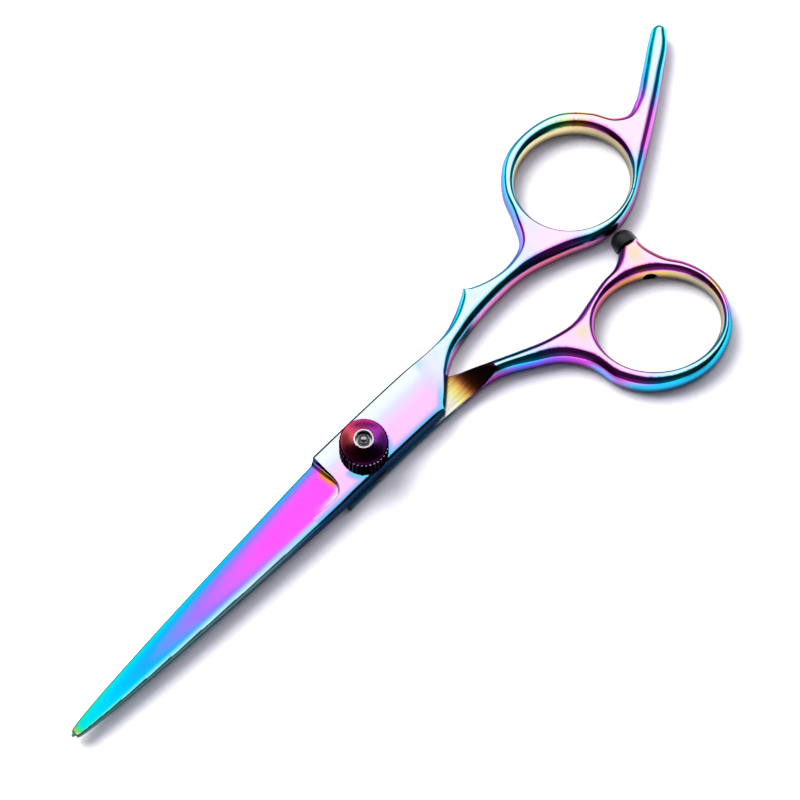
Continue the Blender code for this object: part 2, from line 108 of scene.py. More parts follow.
# Thinning teeth of the rear blade
SLOT_COUNT = 28
SLOT_PITCH = 2.0
SLOT_WIDTH = 1.0
FIRST_SLOT_X = -67.5
SLOT_DEPTH_SHARE = 0.6


# ---------------------------------------------------------------- lines and distances

def smooth_line(points, step):
    """Dense points of a smooth line through the given ones, ends included, in all columns."""
    points = np.array(points, float)
    gaps = np.maximum(np.linalg.norm(np.diff(points[:, :2], axis=0), axis=1), 1e-9)
    slopes = np.diff(points, axis=0) / gaps[:, None]
    tangents = np.empty_like(points)
    tangents[0], tangents[-1] = slopes[0], slopes[-1]
    before, after = gaps[:-1, None], gaps[1:, None]
    tangents[1:-1] = (slopes[:-1] * after + slopes[1:] * before) / (before + after)
    made = []
    for index, gap in enumerate(gaps):
        t = (np.arange(max(int(round(gap / step)), 1)) / max(int(round(gap / step)), 1))[:, None]
        start, end = points[index], points[index + 1]
        made.append((2 * t**3 - 3 * t**2 + 1) * start + (t**3 - 2 * t**2 + t) * gap * tangents[index]
                    + (3 * t**2 - 2 * t**3) * end + (t**3 - t**2) * gap * tangents[index + 1])
    return np.vstack(made + [points[-1:]])


def joined(stretches):
    """One closed loop of stretches, each starting where the one before ends."""
    return np.vstack([stretch[:-1] for stretch in stretches])


def ellipse(centre_x, centre_y, long_half, short_half, tilt, rounding, count):
    """A closed clockwise loop with its material outside."""
    angles = -np.arange(count) * math.tau / count
    turn = math.radians(tilt)
    along, across = long_half * np.cos(angles), short_half * np.sin(angles)
    x = centre_x + along * math.cos(turn) - across * math.sin(turn)
    y = centre_y + along * math.sin(turn) + across * math.cos(turn)
    facing = 0.71 * (x - centre_x + y - centre_y) / long_half
    return np.column_stack([x, y, rounding * (1 + HOLE_SWING * facing)])


def nearest(points, line, closed=True):
    """Distance from each point to a line, the line's rounding there, and which side."""
    start = line if closed else line[:-1]
    end = np.roll(line, -1, axis=0) if closed else line[1:]
    edge = end[:, :2] - start[:, :2]
    squared = np.maximum((edge**2).sum(1), 1e-12)
    best = np.full(len(points), 1e9)
    rounding = np.zeros(len(points))
    side = np.zeros(len(points))
    for low in range(0, len(points), 4000):
        part = points[low:low + 4000, None, :2] - start[None, :, :2]
        t = np.clip((part * edge).sum(2) / squared, 0, 1)
        gap = part - t[:, :, None] * edge
        distance = (gap**2).sum(2)
        pick = distance.argmin(1)
        rows = np.arange(len(pick))
        best[low:low + 4000] = np.sqrt(distance[rows, pick])
        share = t[rows, pick]
        rounding[low:low + 4000] = start[pick, 2] * (1 - share) + end[pick, 2] * share
        hit = part[rows, pick]
        side[low:low + 4000] = np.sign(edge[pick, 0] * hit[:, 1] - edge[pick, 1] * hit[:, 0])
    return best, rounding, side


def nearest_of(points, loops):
    """Distance to the nearest of several loops, with the rounding there."""
    best, rounding = None, None
    for loop in loops:
        distance, width, _ = nearest(points, loop)
        if best is None:
            best, rounding = distance, width
        else:
            closer = distance < best
            best = np.where(closer, distance, best)
            rounding = np.where(closer, width, rounding)
    return best, rounding


def inside(points, loop):
    """Even-odd test of points against a closed loop."""
    x, y = points[:, 0], points[:, 1]
    found = np.zeros(len(points), bool)
    for (x1, y1), (x2, y2) in zip(loop[:, :2], np.roll(loop[:, :2], -1, axis=0)):
        if y1 == y2:
            continue
        crosses = (y1 > y) != (y2 > y)
        found ^= crosses & (x < (x2 - x1) * (y - y1) / (y2 - y1) + x1)
    return found


def inward(loop):
    """Unit directions into the material at each point of a loop."""
    edge = np.roll(loop[:, :2], -1, axis=0) - loop[:, :2]
    edge /= np.maximum(np.linalg.norm(edge, axis=1), 1e-9)[:, None]
    normal = np.column_stack([-edge[:, 1], edge[:, 0]])
    normal = normal + np.roll(normal, 1, axis=0)
    return normal / np.maximum(np.linalg.norm(normal, axis=1), 1e-9)[:, None]


def fit_rounding(loops, outline):
    """Keep each rounding under the local half width, so that opposite ones don't meet."""
    for loop in loops:
        direction = inward(loop)
        for reach in np.linspace(0.2, 2.4, 23):
            probe = np.column_stack([loop[:, :2] + direction * reach, loop[:, 2]])
            distance, _ = nearest_of(probe, [outline])
            blocked = (distance < 0.96 * reach) & (loop is outline)
            loop[:, 2] = np.where(blocked, np.minimum(loop[:, 2], 0.93 * reach), loop[:, 2])
        for _ in range(12):
            eased = (np.roll(loop[:, 2], 1) + loop[:, 2] + np.roll(loop[:, 2], -1)) / 3
            loop[:, 2] = np.minimum(loop[:, 2], eased)


def thinned(points, gap):
    """Drop points that crowd an earlier one."""
    kept, cells = [], {}
    for index, (x, y) in enumerate(points):
        cell = (int(x // gap), int(y // gap))
        crowd = False
        for i in range(cell[0] - 1, cell[0] + 2):
            for j in range(cell[1] - 1, cell[1] + 2):
                for other in cells.get((i, j), ()):
                    if (points[other][0] - x)**2 + (points[other][1] - y)**2 < gap * gap:
                        crowd = True
        if not crowd:
            cells.setdefault(cell, []).append(index)
            kept.append(index)
    return points[kept]


# ---------------------------------------------------------------- forged body from its outline

ROW_ANGLES = range(13, 86, 8)        # where the rows of points lie on an edge's rounding, in degrees
GRID = 0.42                          # spacing of the points on the open faces
CROWDING = 0.015                     # points closer than this are dropped
CREASE_OFFSETS = (-0.12, 0.0, 0.1, 0.2, 0.32, 0.5, 0.75, 1.0, 1.3)


def add_attribute(mesh, name, values):
    """Keep one number for each vertex, for the material to read."""
    made = mesh.attributes.new(name, 'FLOAT', 'POINT')
    made.data.foreach_set("value", np.asarray(values, dtype=np.float32))


def flat_query(points):
    """Points with an empty third column, as nearest and nearest_of take them."""
    return np.column_stack([points, points[:, :1] * 0])


def rounding_rows(loops):
    """Rows of points along each loop, closer together where its edge curves most."""
    rows = []
    for loop in loops:
        direction = inward(loop)
        for angle in ROW_ANGLES:
            offset = loop[:, 2] * (1 - math.cos(math.radians(angle)))
            row = np.column_stack([loop[:, :2] + direction * offset[:, None], offset])
            distance, _ = nearest_of(row, loops)
            rows.append(row[(np.abs(distance - row[:, 2]) < 0.02) & (row[:, 2] > 0.006)][:, :2])
    return rows


def crease_rows(line):
    """Rows of points along both sides of the step."""
    flat = np.array(line, float)[:, :2]
    edge = np.gradient(flat, axis=0)
    edge /= np.linalg.norm(edge, axis=1)[:, None]
    side = np.column_stack([-edge[:, 1], edge[:, 0]])
    return [flat + side * offset for offset in CREASE_OFFSETS]


def open_lattice(loops):
    """A triangular lattice inside the outline, clear of every rounding."""
    low, high = loops[0][:, :2].min(0), loops[0][:, :2].max(0)
    columns, lines = np.arange(low[0], high[0], GRID), np.arange(low[1], high[1], GRID * 0.87)
    lattice = np.array([(x + (GRID / 2 if k % 2 else 0), y) for k, y in enumerate(lines) for x in columns])
    lattice = lattice[inside(lattice, loops[0])]
    distance, width = nearest_of(flat_query(lattice), loops)
    return lattice[distance > width + 0.3 * GRID]


def in_material(points, loops):
    """Which points lie inside the outline and outside every hole."""
    keep = inside(points, loops[0])
    for hole in loops[1:]:
        keep &= ~inside(points, hole)
    return keep


def triangulated(loops, line):
    """The plan of a half as points and triangles that follow its outline and its step."""
    free = np.vstack(crease_rows(line) + rounding_rows(loops) + [open_lattice(loops)])
    free = free[in_material(free, loops)]
    distance, _ = nearest_of(flat_query(free), loops)
    free = thinned(free[distance > 0.006], CROWDING)
    points = np.vstack([np.vstack(loops)[:, :2], free])
    edges, first = [], 0
    for loop in loops:
        count = len(loop)
        edges += [(first + k, first + (k + 1) % count) for k in range(count)]
        first += count
    flat, _, triangles, _, _, _ = delaunay_2d_cdt([Vector(p) for p in points], edges, [], 0, 1e-6)
    flat, triangles = np.array([tuple(p) for p in flat]), np.array(triangles)
    triangles = triangles[in_material(flat[triangles].mean(1), loops)]
    used = np.unique(triangles)
    renumber = np.full(len(flat), -1)
    renumber[used] = np.arange(len(used))
    return flat[used], renumber[triangles]


def forged(half, loops):
    """A closed body: the outline, the finger hole and the pivot hole, raised on both sides."""
    fit_rounding(loops, loops[0])
    flat, triangles = triangulated(loops, half.step_line)
    query = flat_query(flat)
    distance, _ = nearest_of(query, loops)
    edge_point = distance < 2e-4
    to_outline, width = nearest_of(query, [loops[0], loops[2]])
    to_hole, hole_width, _ = nearest(query, loops[1])
    heights_out = half.outer(flat, to_outline, width, to_hole, hole_width)
    heights_out = np.where(edge_point, rim_height(flat), heights_out)
    heights_in = half.inner(flat, to_outline, width, to_hole, hole_width)
    top = np.column_stack([flat, MID + half.sign * heights_out])
    below = np.column_stack([flat, MID + half.sign * heights_in])[~edge_point]
    under = np.where(edge_point, np.arange(len(flat)), 0)
    under[~edge_point] = len(flat) + np.arange((~edge_point).sum())
    first_face, second_face = triangles, under[triangles][:, ::-1]
    if half.sign < 0:
        first_face, second_face = first_face[:, ::-1], second_face[:, ::-1]
    mesh = bpy.data.meshes.new(half.name)
    mesh.from_pydata((np.vstack([top, below]) * MM).tolist(), [],
                     np.vstack([first_face, second_face]).tolist())
    mesh.update()
    plan = np.vstack([flat, flat[~edge_point]])
    hole_side = (to_hole < to_outline).astype(float)
    add_attribute(mesh, "rim_gap", np.concatenate([distance, distance[~edge_point]]))
    add_attribute(mesh, "across", np.clip(half.across(plan), -0.5, 1.5))
    add_attribute(mesh, "step_gap", half.step_gap(plan))
    add_attribute(mesh, "hole_side", np.concatenate([hole_side, hole_side[~edge_point]]))
    mesh.shade_smooth()
    mesh.set_sharp_from_angle(angle=math.radians(40))
    obj = bpy.data.objects.new(half.name, mesh)
    bpy.context.scene.collection.objects.link(obj)
    return obj


def crown(points):
    """How square the outer edges' rounding is: squarer on the plates than on the handles."""
    return CROWN_HANDLE + (CROWN_PLATE - CROWN_HANDLE) * np.clip((28 - points[:, 0]) / 8, 0, 1)


def quarter(t, power=2.0):
    """Rise from 0 at t = 0 to 1 at t = 1: a quarter ellipse, or squarer with a higher power."""
    t = np.clip(t, 0, 1)
    return np.maximum(1 - (1 - t)**power, 0)**(1 / power)


def neck_height(x):
    """Inner face: flat at the plate, then hollow and falling away towards the handle."""
    run = np.clip(x - NECK_X, 0, NECK_RADIUS * 0.999)
    return PLAY - (NECK_RADIUS - np.sqrt(NECK_RADIUS**2 - run**2))


def thickness(x):
    """Half thickness of the handle, which thins along the tang."""
    along = np.clip((x - 78.0) / (99.5 - 78.0), 0, 1)
    return HALF * (1 - 0.5 * along)


def rim_height(points):
    """Height of the outline: low on the plates, on the mid plane along the handles."""
    return np.maximum(0.0, neck_height(points[:, 0]) + RIM)


def blade_share(x):
    """0 at the blades' tips, 1 at their heels."""
    return np.clip((x - TIP_X) / (HEEL_X - TIP_X), 0.0, 1.0)


def front_edge_y(x):
    return 1.0 + 4.6 * blade_share(x)**0.68


def front_spine_y(x):
    return -0.75 - 3.8 * blade_share(x)**0.65


def tooth_tip_y(x):
    return front_spine_y(x) + 0.8


def rear_spine_y(x):
    return front_edge_y(x) - 0.35


def crest_height(x):
    """Outer height of a blade along its crest."""
    return 1.15 + (HALF - 1.15) * blade_share(x)**0.9


def blade_face(x, across, edge_height):
    """Ground face: across runs from 0 at the crest to 1 at the cutting edge."""
    q = np.clip(across, 0, 1)
    pocket = 0.5 * np.clip((x + 15) / 6, 0, 1)**2 * np.clip(1.4 * (1 - q), 0, 1)
    return edge_height + (crest_height(x) - edge_height) * (1 - q**1.35) - pocket


class Half:
    """One half's heights over its plan; the thumb half is built towards -Z."""

    def __init__(self, name, sign, spine_y, edge_y, crest, edge_height, step_line):
        self.name = name
        self.sign = sign
        self.spine_y = spine_y
        self.edge_y = edge_y
        self.crest = crest
        self.edge_height = edge_height
        self.step_line = step_line

    def share(self, y, start, end):
        """0 at one line across the blade, 1 at the other, nearer the cutting edge."""
        return (y - start) / (self.sign * np.maximum(self.sign * (end - start), 0.01))

    def across(self, points):
        """0 at the blade's spine, 1 at its cutting edge."""
        x, y = points[:, 0], points[:, 1]
        return self.share(y, self.spine_y(x), self.edge_y(x))

    def from_step(self, points):
        """Distance from the step, and the side: above 0 on the blade's face."""
        distance, _, side = nearest(flat_query(points), self.step_line, False)
        return distance, side

    def step_gap(self, points):
        """Distance from the step, above 0 on the blade's face and below 0 on the plate."""
        distance, side = self.from_step(points)
        return np.where(points[:, 0] < STEP_END_X + 0.5, 3.0, np.clip(distance * side, -3, 3))

    def cap(self, points):
        """Outer height before the edges are rounded: plate, step with its fillet, blade's face."""
        x, y = points[:, 0], points[:, 1]
        spine, edge = self.spine_y(x), self.edge_y(x)
        crest_y = spine + self.crest * (edge - spine)
        face = blade_face(x, self.share(y, crest_y, edge), self.edge_height)
        distance, side = self.from_step(points)
        top = np.where(x > HEEL_X, HALF, crest_height(x))
        drop = np.maximum(top - face, 0)
        radius = np.maximum(np.minimum(STEP_FILLET, drop), 1e-6)
        reach = np.clip(distance / radius, 0, 1)
        foot = radius * (1 - np.sqrt(np.maximum(1 - (1 - reach)**2, 0)))
        stepped = np.where(side > 0, face + np.where(distance < 0.09, drop, foot), top)
        cap = np.where(x < -15, face, np.where(x > 0, HALF, stepped))
        return np.where(x > 60, thickness(x), cap)

    def outer(self, points, distance, width, hole_distance, hole_width):
        """Outer side: the cap, rounded towards the outline and the finger hole."""
        rim = rim_height(points)
        rounding = quarter(distance / np.maximum(width, 0.03), crown(points))
        rounding *= quarter(hole_distance / hole_width, crown(points))
        return rim + (self.cap(points) - rim) * rounding

    def inner(self, points, distance, width, hole_distance, hole_width):
        """Inner side: hollow-ground blade, plate and neck, then the handle's rounded underside."""
        x = points[:, 0]
        v = np.clip(self.across(points), 0, 1)
        hollow = np.where(x < -9, 0.14 * np.clip(4 * v * (1 - v), 0, 1)**2, 0.0)
        rim = rim_height(points)
        plate = neck_height(x) + RIM * (1 - quarter(distance / RIM)) + hollow
        rounding = np.maximum(1.12 * width, 0.05)
        share = quarter(distance / rounding) * quarter(hole_distance / (1.12 * hole_width))
        handle = rim - (rim + thickness(x) - UNDERCUT) * share
        return np.minimum(np.maximum(plate, handle), rim)


def blade_line(edge_y, start_x, end_x, rounding_start, rounding_end, step=0.45):
    """Points along a blade's edge or spine."""
    count = int(abs(end_x - start_x) / step)
    x = np.linspace(start_x, end_x, count + 1)
    rounding = np.linspace(rounding_start, rounding_end, count + 1)
    return np.column_stack([x, edge_y(x), rounding])


def step_line(points):
    """The dense line of a step from its few points."""
    return smooth_line([(x, y, 0) for x, y in points], 0.15)


# ---------------------------------------------------------------- the finger half

FINGER_STEP = [(-6.95, 6.4), (-7.02, 5.0), (-7.1, 2.5), (-7.2, 0.2), (-7.6, -1.2),
               (-8.5, -2.15), (-10.0, -2.5), (-13.0, -2.45), (STEP_END_X, -2.2)]


def finger_half():
    """The front half: plain blade, plate, shank with its crown, ring and finger rest."""
    step = 0.28
    spine = blade_line(front_spine_y, TIP_X, -7.0, 0.3, 1.1)
    spine[:, 2] = 0.3 + 0.8 * blade_share(spine[:, 0] - 3.0)**4
    spine[-1, 1] = -4.55
    edge = blade_line(front_edge_y, -8.6, TIP_X, 0.12, 0.12)
    edge[0, 1] = 5.62
    tip = np.array([(TIP_X, 1.0, 0.12), (TIP_X - 0.12, 0.7, 0.2), (TIP_X - 0.15, 0.0, 0.3),
                    (TIP_X - 0.1, -0.5, 0.35), (TIP_X, -0.75, 0.35)])
    outline = joined([
        spine, smooth_line(FINGER_SPINE, step), smooth_line(FINGER_DIAGONAL, step),
        smooth_line(FINGER_INSIDE, step), smooth_line(FINGER_BACK, step),
        smooth_line(FINGER_HEEL, 0.12), edge, tip,
    ])
    loops = [outline, ellipse(*FINGER_HOLE, HOLE_ROUND, 230), ellipse(0, 0, 3.8, 3.8, 0, 0.1, 72)]
    obj = forged(Half("finger_half_forged", 1.0, front_spine_y, front_edge_y, 0.30, 0.28,
                      step_line(FINGER_STEP)[::-1]), loops)
    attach(obj, "finger_half")
    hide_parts("finger_blade")
    return obj


# ---------------------------------------------------------------- the thumb half

THUMB_STEP = [(-8.35, -5.2), (-8.45, -3.0), (-8.5, -0.6), (-8.9, 1.0), (-9.9, 2.1),
              (-11.4, 2.7), (-14.0, 3.0), (STEP_END_X, 3.0)]


def toothed_edge():
    """The rear blade's edge from tip to heel: teeth with notched tips between round slots."""
    radius = SLOT_WIDTH / 2
    points = [(TIP_X - 0.4, tooth_tip_y(TIP_X), 0.15)]
    for index in range(SLOT_COUNT):
        x = FIRST_SLOT_X + index * SLOT_PITCH
        tips = tooth_tip_y(x)
        end = tips + SLOT_DEPTH_SHARE * (rear_spine_y(x) - tips) - radius
        side_steps = max(int((end - tips - 0.15) / 0.45), 2)
        up = [(x - radius, tips + 0.15 + (end - tips - 0.15) * k / side_steps, 0.12)
              for k in range(side_steps + 1)]
        turn = [(x - radius * math.cos(a), end + radius * math.sin(a), 0.12)
                for a in np.linspace(0, math.pi, 9)[1:-1]]
        down = [(2 * x - px, py, r) for px, py, r in reversed(up)]
        points.append((x - radius - 0.12, tips, 0.12))
        points += up + turn + down
        points.append((x + radius + 0.12, tips, 0.12))
        if index < SLOT_COUNT - 1:
            middle = x + SLOT_PITCH / 2
            points += [(middle - 0.16, tips, 0.12), (middle, tips + 0.22, 0.12),
                       (middle + 0.16, tips, 0.12)]
    points.append((-9.4, tooth_tip_y(-9.4), 0.12))
    return np.array(points)


def thumb_half():
    """The rear half: thinning blade, plate, shank and ring with the bumper's boss."""
    step = 0.28
    heel = np.array([(-9.4, tooth_tip_y(-9.4), 0.12), (-8.9, -3.85, 0.12), (-8.5, -4.3, 0.15),
                     (-8.4, -4.95, 0.3)])
    spine = blade_line(rear_spine_y, -8.4, TIP_X - 0.4, 2.0, 0.3)
    spine[0, 1] = 5.45
    tip = np.array([(TIP_X - 0.4, rear_spine_y(TIP_X), 0.3), (TIP_X - 0.55, 0.4, 0.25),
                    (TIP_X - 0.4, tooth_tip_y(TIP_X), 0.15)])
    outline = joined([
        toothed_edge(), heel, smooth_line(THUMB_OUTSIDE, step)[::-1], smooth_line(THUMB_BOSS, 0.2)[::-1],
        smooth_line(THUMB_INSIDE, step)[::-1], smooth_line(THUMB_DIAGONAL, step)[::-1],
        smooth_line(THUMB_BACK, step), spine, tip,
    ])
    loops = [outline, ellipse(*THUMB_HOLE, HOLE_ROUND, 230), ellipse(0, 0, 4.3, 4.3, 0, 0.1, 72)]
    obj = forged(Half("thumb_half_forged", -1.0, rear_spine_y, tooth_tip_y, 0.28, 0.55,
                      step_line(THUMB_STEP)), loops)
    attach(obj, "thumb_half")
    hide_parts("thumb_blade")
    return obj


# ---------------------------------------------------------------- material nodes

class Nodes:
    """Short names for the nodes of one material or world."""

    def __init__(self, tree):
        self.tree = tree

    def new(self, kind, **settings):
        node = self.tree.nodes.new(kind)
        for name, value in settings.items():
            setattr(node, name, value)
        return node

    def plug(self, socket, value):
        if isinstance(value, bpy.types.NodeSocket):
            self.tree.links.new(value, socket)
        elif isinstance(value, (tuple, list)) and len(value) == 3 and socket.type == 'RGBA':
            socket.default_value = (*value, 1.0)
        else:
            socket.default_value = value

    def math(self, operation, *values):
        node = self.new('ShaderNodeMath', operation=operation)
        for socket, value in zip(node.inputs, values):
            self.plug(socket, value)
        return node.outputs[0]

    def plus(self, first, second):
        return self.math('ADD', first, second)

    def minus(self, first, second):
        return self.math('SUBTRACT', first, second)

    def times(self, first, *others):
        for other in others:
            first = self.math('MULTIPLY', first, other)
        return first

    def highest(self, first, *others):
        for other in others:
            first = self.math('MAXIMUM', first, other)
        return first

    def remap(self, value, low, high, to_low=0.0, to_high=1.0, kind='SMOOTHSTEP'):
        """A soft rise from to_low to to_high as a value goes from low to high."""
        node = self.new('ShaderNodeMapRange', interpolation_type=kind)
        for socket, given in zip(node.inputs, (value, low, high, to_low, to_high)):
            self.plug(socket, given)
        return node.outputs[0]

    def share(self, value, low, high, to_low=0.0, to_high=1.0):
        """The same in a straight line."""
        return self.remap(value, low, high, to_low, to_high, 'LINEAR')

    def fall(self, value, low, high, top=1.0):
        """A soft fall from top to 0."""
        return self.remap(value, low, high, top, 0.0)

    def from_axis(self, x, y):
        """Distance from the Z axis."""
        return self.math('SQRT', self.plus(self.times(x, x), self.times(y, y)))

    def turn(self, x, y):
        """Direction from the Z axis, 0 to 1 once round from +X."""
        return self.math('FRACT', self.plus(self.math('DIVIDE', self.math('ARCTAN2', y, x), math.tau), 1.0))

    def mix(self, share, first, second, blend='MIX'):
        node = self.new('ShaderNodeMix', data_type='RGBA', blend_type=blend)
        self.plug(node.inputs[0], share)
        self.plug(node.inputs[6], first)
        self.plug(node.inputs[7], second)
        return node.outputs[2]

    def mix_value(self, share, first, second):
        node = self.new('ShaderNodeMix', data_type='FLOAT')
        self.plug(node.inputs[0], share)
        self.plug(node.inputs[2], first)
        self.plug(node.inputs[3], second)
        return node.outputs[0]

    def ramp(self, value, stops):
        """A colour ramp of (place, colour) stops, colours as on screen."""
        node = self.new('ShaderNodeValToRGB')
        line = node.color_ramp
        while len(line.elements) < len(stops):
            line.elements.new(1.0)
        for element, (place, colour) in zip(line.elements, stops):
            element.position = place
        for element, (place, colour) in zip(line.elements, stops):
            element.color = (*screen(colour), 1.0)
        self.plug(node.inputs[0], value)
        return node.outputs[0]

    def curve(self, value, stops):
        """Numbers that follow (place, number) stops in straight lines."""
        node = self.new('ShaderNodeFloatCurve')
        curve = node.mapping.curves[0]
        while len(curve.points) < len(stops):
            curve.points.new(0.5, 0.5)
        for point, stop in zip(curve.points, stops):
            point.location = stop
            point.handle_type = 'VECTOR'
        node.mapping.use_clip = False
        node.mapping.extend = 'HORIZONTAL'
        node.mapping.update()
        self.plug(node.inputs['Value'], value)
        return node.outputs[0]

    def scale_colour(self, colour, factor):
        node = self.new('ShaderNodeVectorMath', operation='SCALE')
        self.plug(node.inputs[0], colour)
        self.plug(node.inputs['Scale'], factor)
        return node.outputs[0]

    def spot(self, vector, centre, radius):
        """1 at a place and 0 at a radius from it."""
        node = self.new('ShaderNodeVectorMath', operation='DISTANCE')
        self.plug(node.inputs[0], vector)
        node.inputs[1].default_value = centre
        return self.fall(node.outputs['Value'], 0.0, radius)

    def noise(self, vector, scale, detail=2.0, stretch=None):
        if stretch:
            mapping = self.new('ShaderNodeMapping')
            mapping.inputs['Scale'].default_value = stretch
            self.plug(mapping.inputs['Vector'], vector)
            vector = mapping.outputs[0]
        node = self.new('ShaderNodeTexNoise')
        self.plug(node.inputs['Vector'], vector)
        node.inputs['Scale'].default_value = scale
        node.inputs['Detail'].default_value = detail
        return node.outputs[0]

    def line_noise(self, value):
        """Noise along one number, for turning marks."""
        node = self.new('ShaderNodeTexNoise', noise_dimensions='1D')
        self.plug(node.inputs['W'], value)
        return node.outputs[0]

    def attribute(self, name):
        return self.new('ShaderNodeAttribute', attribute_name=name).outputs['Fac']

    def split(self, vector):
        node = self.new('ShaderNodeSeparateXYZ')
        self.plug(node.inputs[0], vector)
        return node.outputs[0], node.outputs[1], node.outputs[2]

    def bump(self, height, strength, distance):
        node = self.new('ShaderNodeBump')
        node.inputs['Strength'].default_value = strength
        node.inputs['Distance'].default_value = distance
        self.plug(node.inputs['Height'], height)
        return node.outputs[0]


def screen(colour):
    """Linear values of a colour given as 0 to 255 on the screen."""
    shares = [value / 255 for value in colour]
    return [v / 12.92 if v <= 0.04045 else ((v + 0.055) / 1.055)**2.4 for v in shares]


class Finish:
    """A new material with its nodes, its shader, and a point's place in millimetres."""

    def __init__(self, name, metallic):
        self.material = bpy.data.materials.new(name)
        self.material.use_nodes = True
        self.nodes = Nodes(self.material.node_tree)
        self.shader = self.material.node_tree.nodes['Principled BSDF']
        self.shader.inputs['Metallic'].default_value = metallic
        coordinates = self.nodes.new('ShaderNodeTexCoord')
        self.at = self.nodes.scale_colour(coordinates.outputs['Object'], 1.0 / MM)
        self.normal = coordinates.outputs['Normal']

    def surface(self, colour, roughness, bump):
        self.nodes.plug(self.shader.inputs['Base Color'], colour)
        self.nodes.plug(self.shader.inputs['Roughness'], roughness)
        self.nodes.plug(self.shader.inputs['Normal'], bump)
        return self.material


# ---------------------------------------------------------------- the rainbow coat

# Colours that the coat takes as it grows thicker, round through one order of interference
FILM = [
    (0.00, (236, 190, 60)), (0.05, (230, 140, 110)), (0.10, (225, 125, 140)), (0.15, (236, 196, 110)),
    (0.20, (185, 226, 120)), (0.25, (80, 218, 140)), (0.32, (10, 236, 205)), (0.40, (0, 220, 246)),
    (0.48, (0, 198, 253)), (0.55, (30, 172, 252)), (0.62, (112, 145, 254)), (0.69, (162, 118, 255)),
    (0.76, (204, 110, 253)), (0.83, (236, 98, 254)), (0.90, (255, 88, 250)), (0.95, (252, 130, 130)),
    (0.98, (246, 165, 60)), (1.00, (236, 190, 60)),
]

# Film depth along each half, and round its ring by the direction from the hole in degrees
THUMB_SHANK = [(0.20, 0.42), (0.36, 0.50), (0.50, 0.80), (0.58, 0.90), (0.62, 0.94), (0.70, 0.88),
               (1.0, 0.86)]
THUMB_RING = [(0, 0.86), (30, 0.88), (50, 0.89), (62, 0.93), (75, 0.88), (100, 0.86), (140, 0.80),
              (165, 0.88), (205, 0.82), (222, 0.56), (238, 0.42), (300, 0.40), (314, 0.50),
              (326, 0.72), (336, 0.90), (344, 0.96), (352, 0.92), (360, 0.86)]
FINGER_SHANK = [(0.00, 0.88), (0.37, 0.87), (0.43, 0.62), (0.49, 0.42), (0.74, 0.42), (0.82, 0.60),
                (0.88, 0.84)]
FINGER_RING = [(0, 0.88), (24, 0.90), (40, 0.98), (45, 1.14), (58, 1.24), (72, 1.36), (90, 1.40),
               (165, 1.41), (188, 1.62), (200, 1.84), (218, 1.84), (232, 1.62), (242, 1.42),
               (300, 1.40), (322, 1.46), (335, 1.60), (348, 1.84), (360, 1.88)]
FINGER_TANG = [(0.00, 0.88), (0.28, 0.82), (0.45, 0.58), (0.60, 0.44), (0.85, 0.38), (1.0, 0.28)]

# Colours of the steep sides along each half, and inside its finger hole
THUMB_WALLS = [
    (0.00, (120, 40, 110)), (0.16, (150, 50, 150)), (0.24, (75, 95, 205)), (0.34, (115, 65, 190)),
    (0.44, (185, 62, 170)), (0.52, (190, 66, 175)), (0.62, (150, 100, 190)), (0.75, (90, 160, 205)),
    (1.0, (150, 175, 215))]
THUMB_HOLE_WALLS = [
    (0.00, (175, 120, 105)), (0.30, (180, 108, 90)), (0.60, (200, 130, 80)), (0.85, (200, 172, 98)),
    (1.0, (155, 152, 122))]
FINGER_WALLS = [
    (0.00, (150, 60, 120)), (0.12, (205, 118, 178)), (0.28, (200, 105, 150)), (0.40, (190, 100, 110)),
    (0.50, (160, 100, 150)), (0.70, (170, 110, 150)), (0.85, (215, 165, 200)), (1.0, (190, 180, 215))]
FINGER_HOLE_WALLS = [
    (0.00, (190, 175, 130)), (0.35, (214, 188, 130)), (0.60, (216, 202, 148)), (0.80, (205, 185, 135)),
    (1.0, (165, 155, 115))]
# Sides of the plates, near black: a painted dark reflection of the room and painted shade
THUMB_PLATE_WALL_PAINTED_DARK = (30, 88, 108)
FINGER_PLATE_WALL_PAINTED_DARK = (18, 46, 72)
LEFT_WALLS = (112, 150, 226)
RING_BOTTOM_WALLS = (38, 165, 205)

# Ground metal at the neck, from the plate to the shank: partly the ground metal's own colour, with a
# painted highlight, nearly white, at the plate end and painted shade, darkest, towards the shank
NECK_LIT_TO_SHADED = [
    (0.00, (255, 255, 250)), (0.20, (255, 252, 225)), (0.30, (252, 246, 165)), (0.39, (250, 224, 122)),
    (0.46, (250, 184, 100)), (0.53, (190, 105, 62)), (0.60, (120, 60, 45)), (0.75, (84, 40, 40)),
    (1.00, (70, 18, 50))]

# Pale gold places on the thumb half's tops: centre and radius
GOLD_SPOTS = [((44.5, -12.0, 6.0), 2.6), ((62.2, -8.0, 6.0), 2.4), ((68.3, -22.5, 5.6), 3.4)]


class Place:
    """The numbers that the coat's colour depends on at a point of a half."""

    def __init__(self, nodes, at, normal):
        nx, ny, self.nz = nodes.split(normal)
        self.at = at
        self.x, self.y, self.z = nodes.split(at)
        self.across = nodes.attribute("across")
        self.gap = nodes.attribute("rim_gap")
        self.hole_side = nodes.attribute("hole_side")
        self.past_step = nodes.attribute("step_gap")
        # Which way a face leans: along the shears' shorter diagonal, and across it
        self.lean = nodes.plus(nodes.times(nx, 0.71), nodes.times(ny, 0.70))
        self.side = nodes.minus(nodes.times(nx, 0.70), nodes.times(ny, 0.71))
        self.on_plate = nodes.fall(self.x, 17, 21)
        self.wander = nodes.times(nodes.minus(nodes.noise(at, 0.11), 0.5), 0.10)


def film(nodes, depth):
    """Colour of the coat at a depth of 0 to 1."""
    return nodes.ramp(depth, FILM)


def rounds(nodes, p, centre, stops):
    """A film depth that changes with the direction seen from a ring's centre."""
    turn = nodes.turn(nodes.minus(p.x, centre[0]), nodes.minus(p.y, centre[1]))
    return nodes.math('FRACT', nodes.curve(turn, [(angle / 360, depth) for angle, depth in stops]))


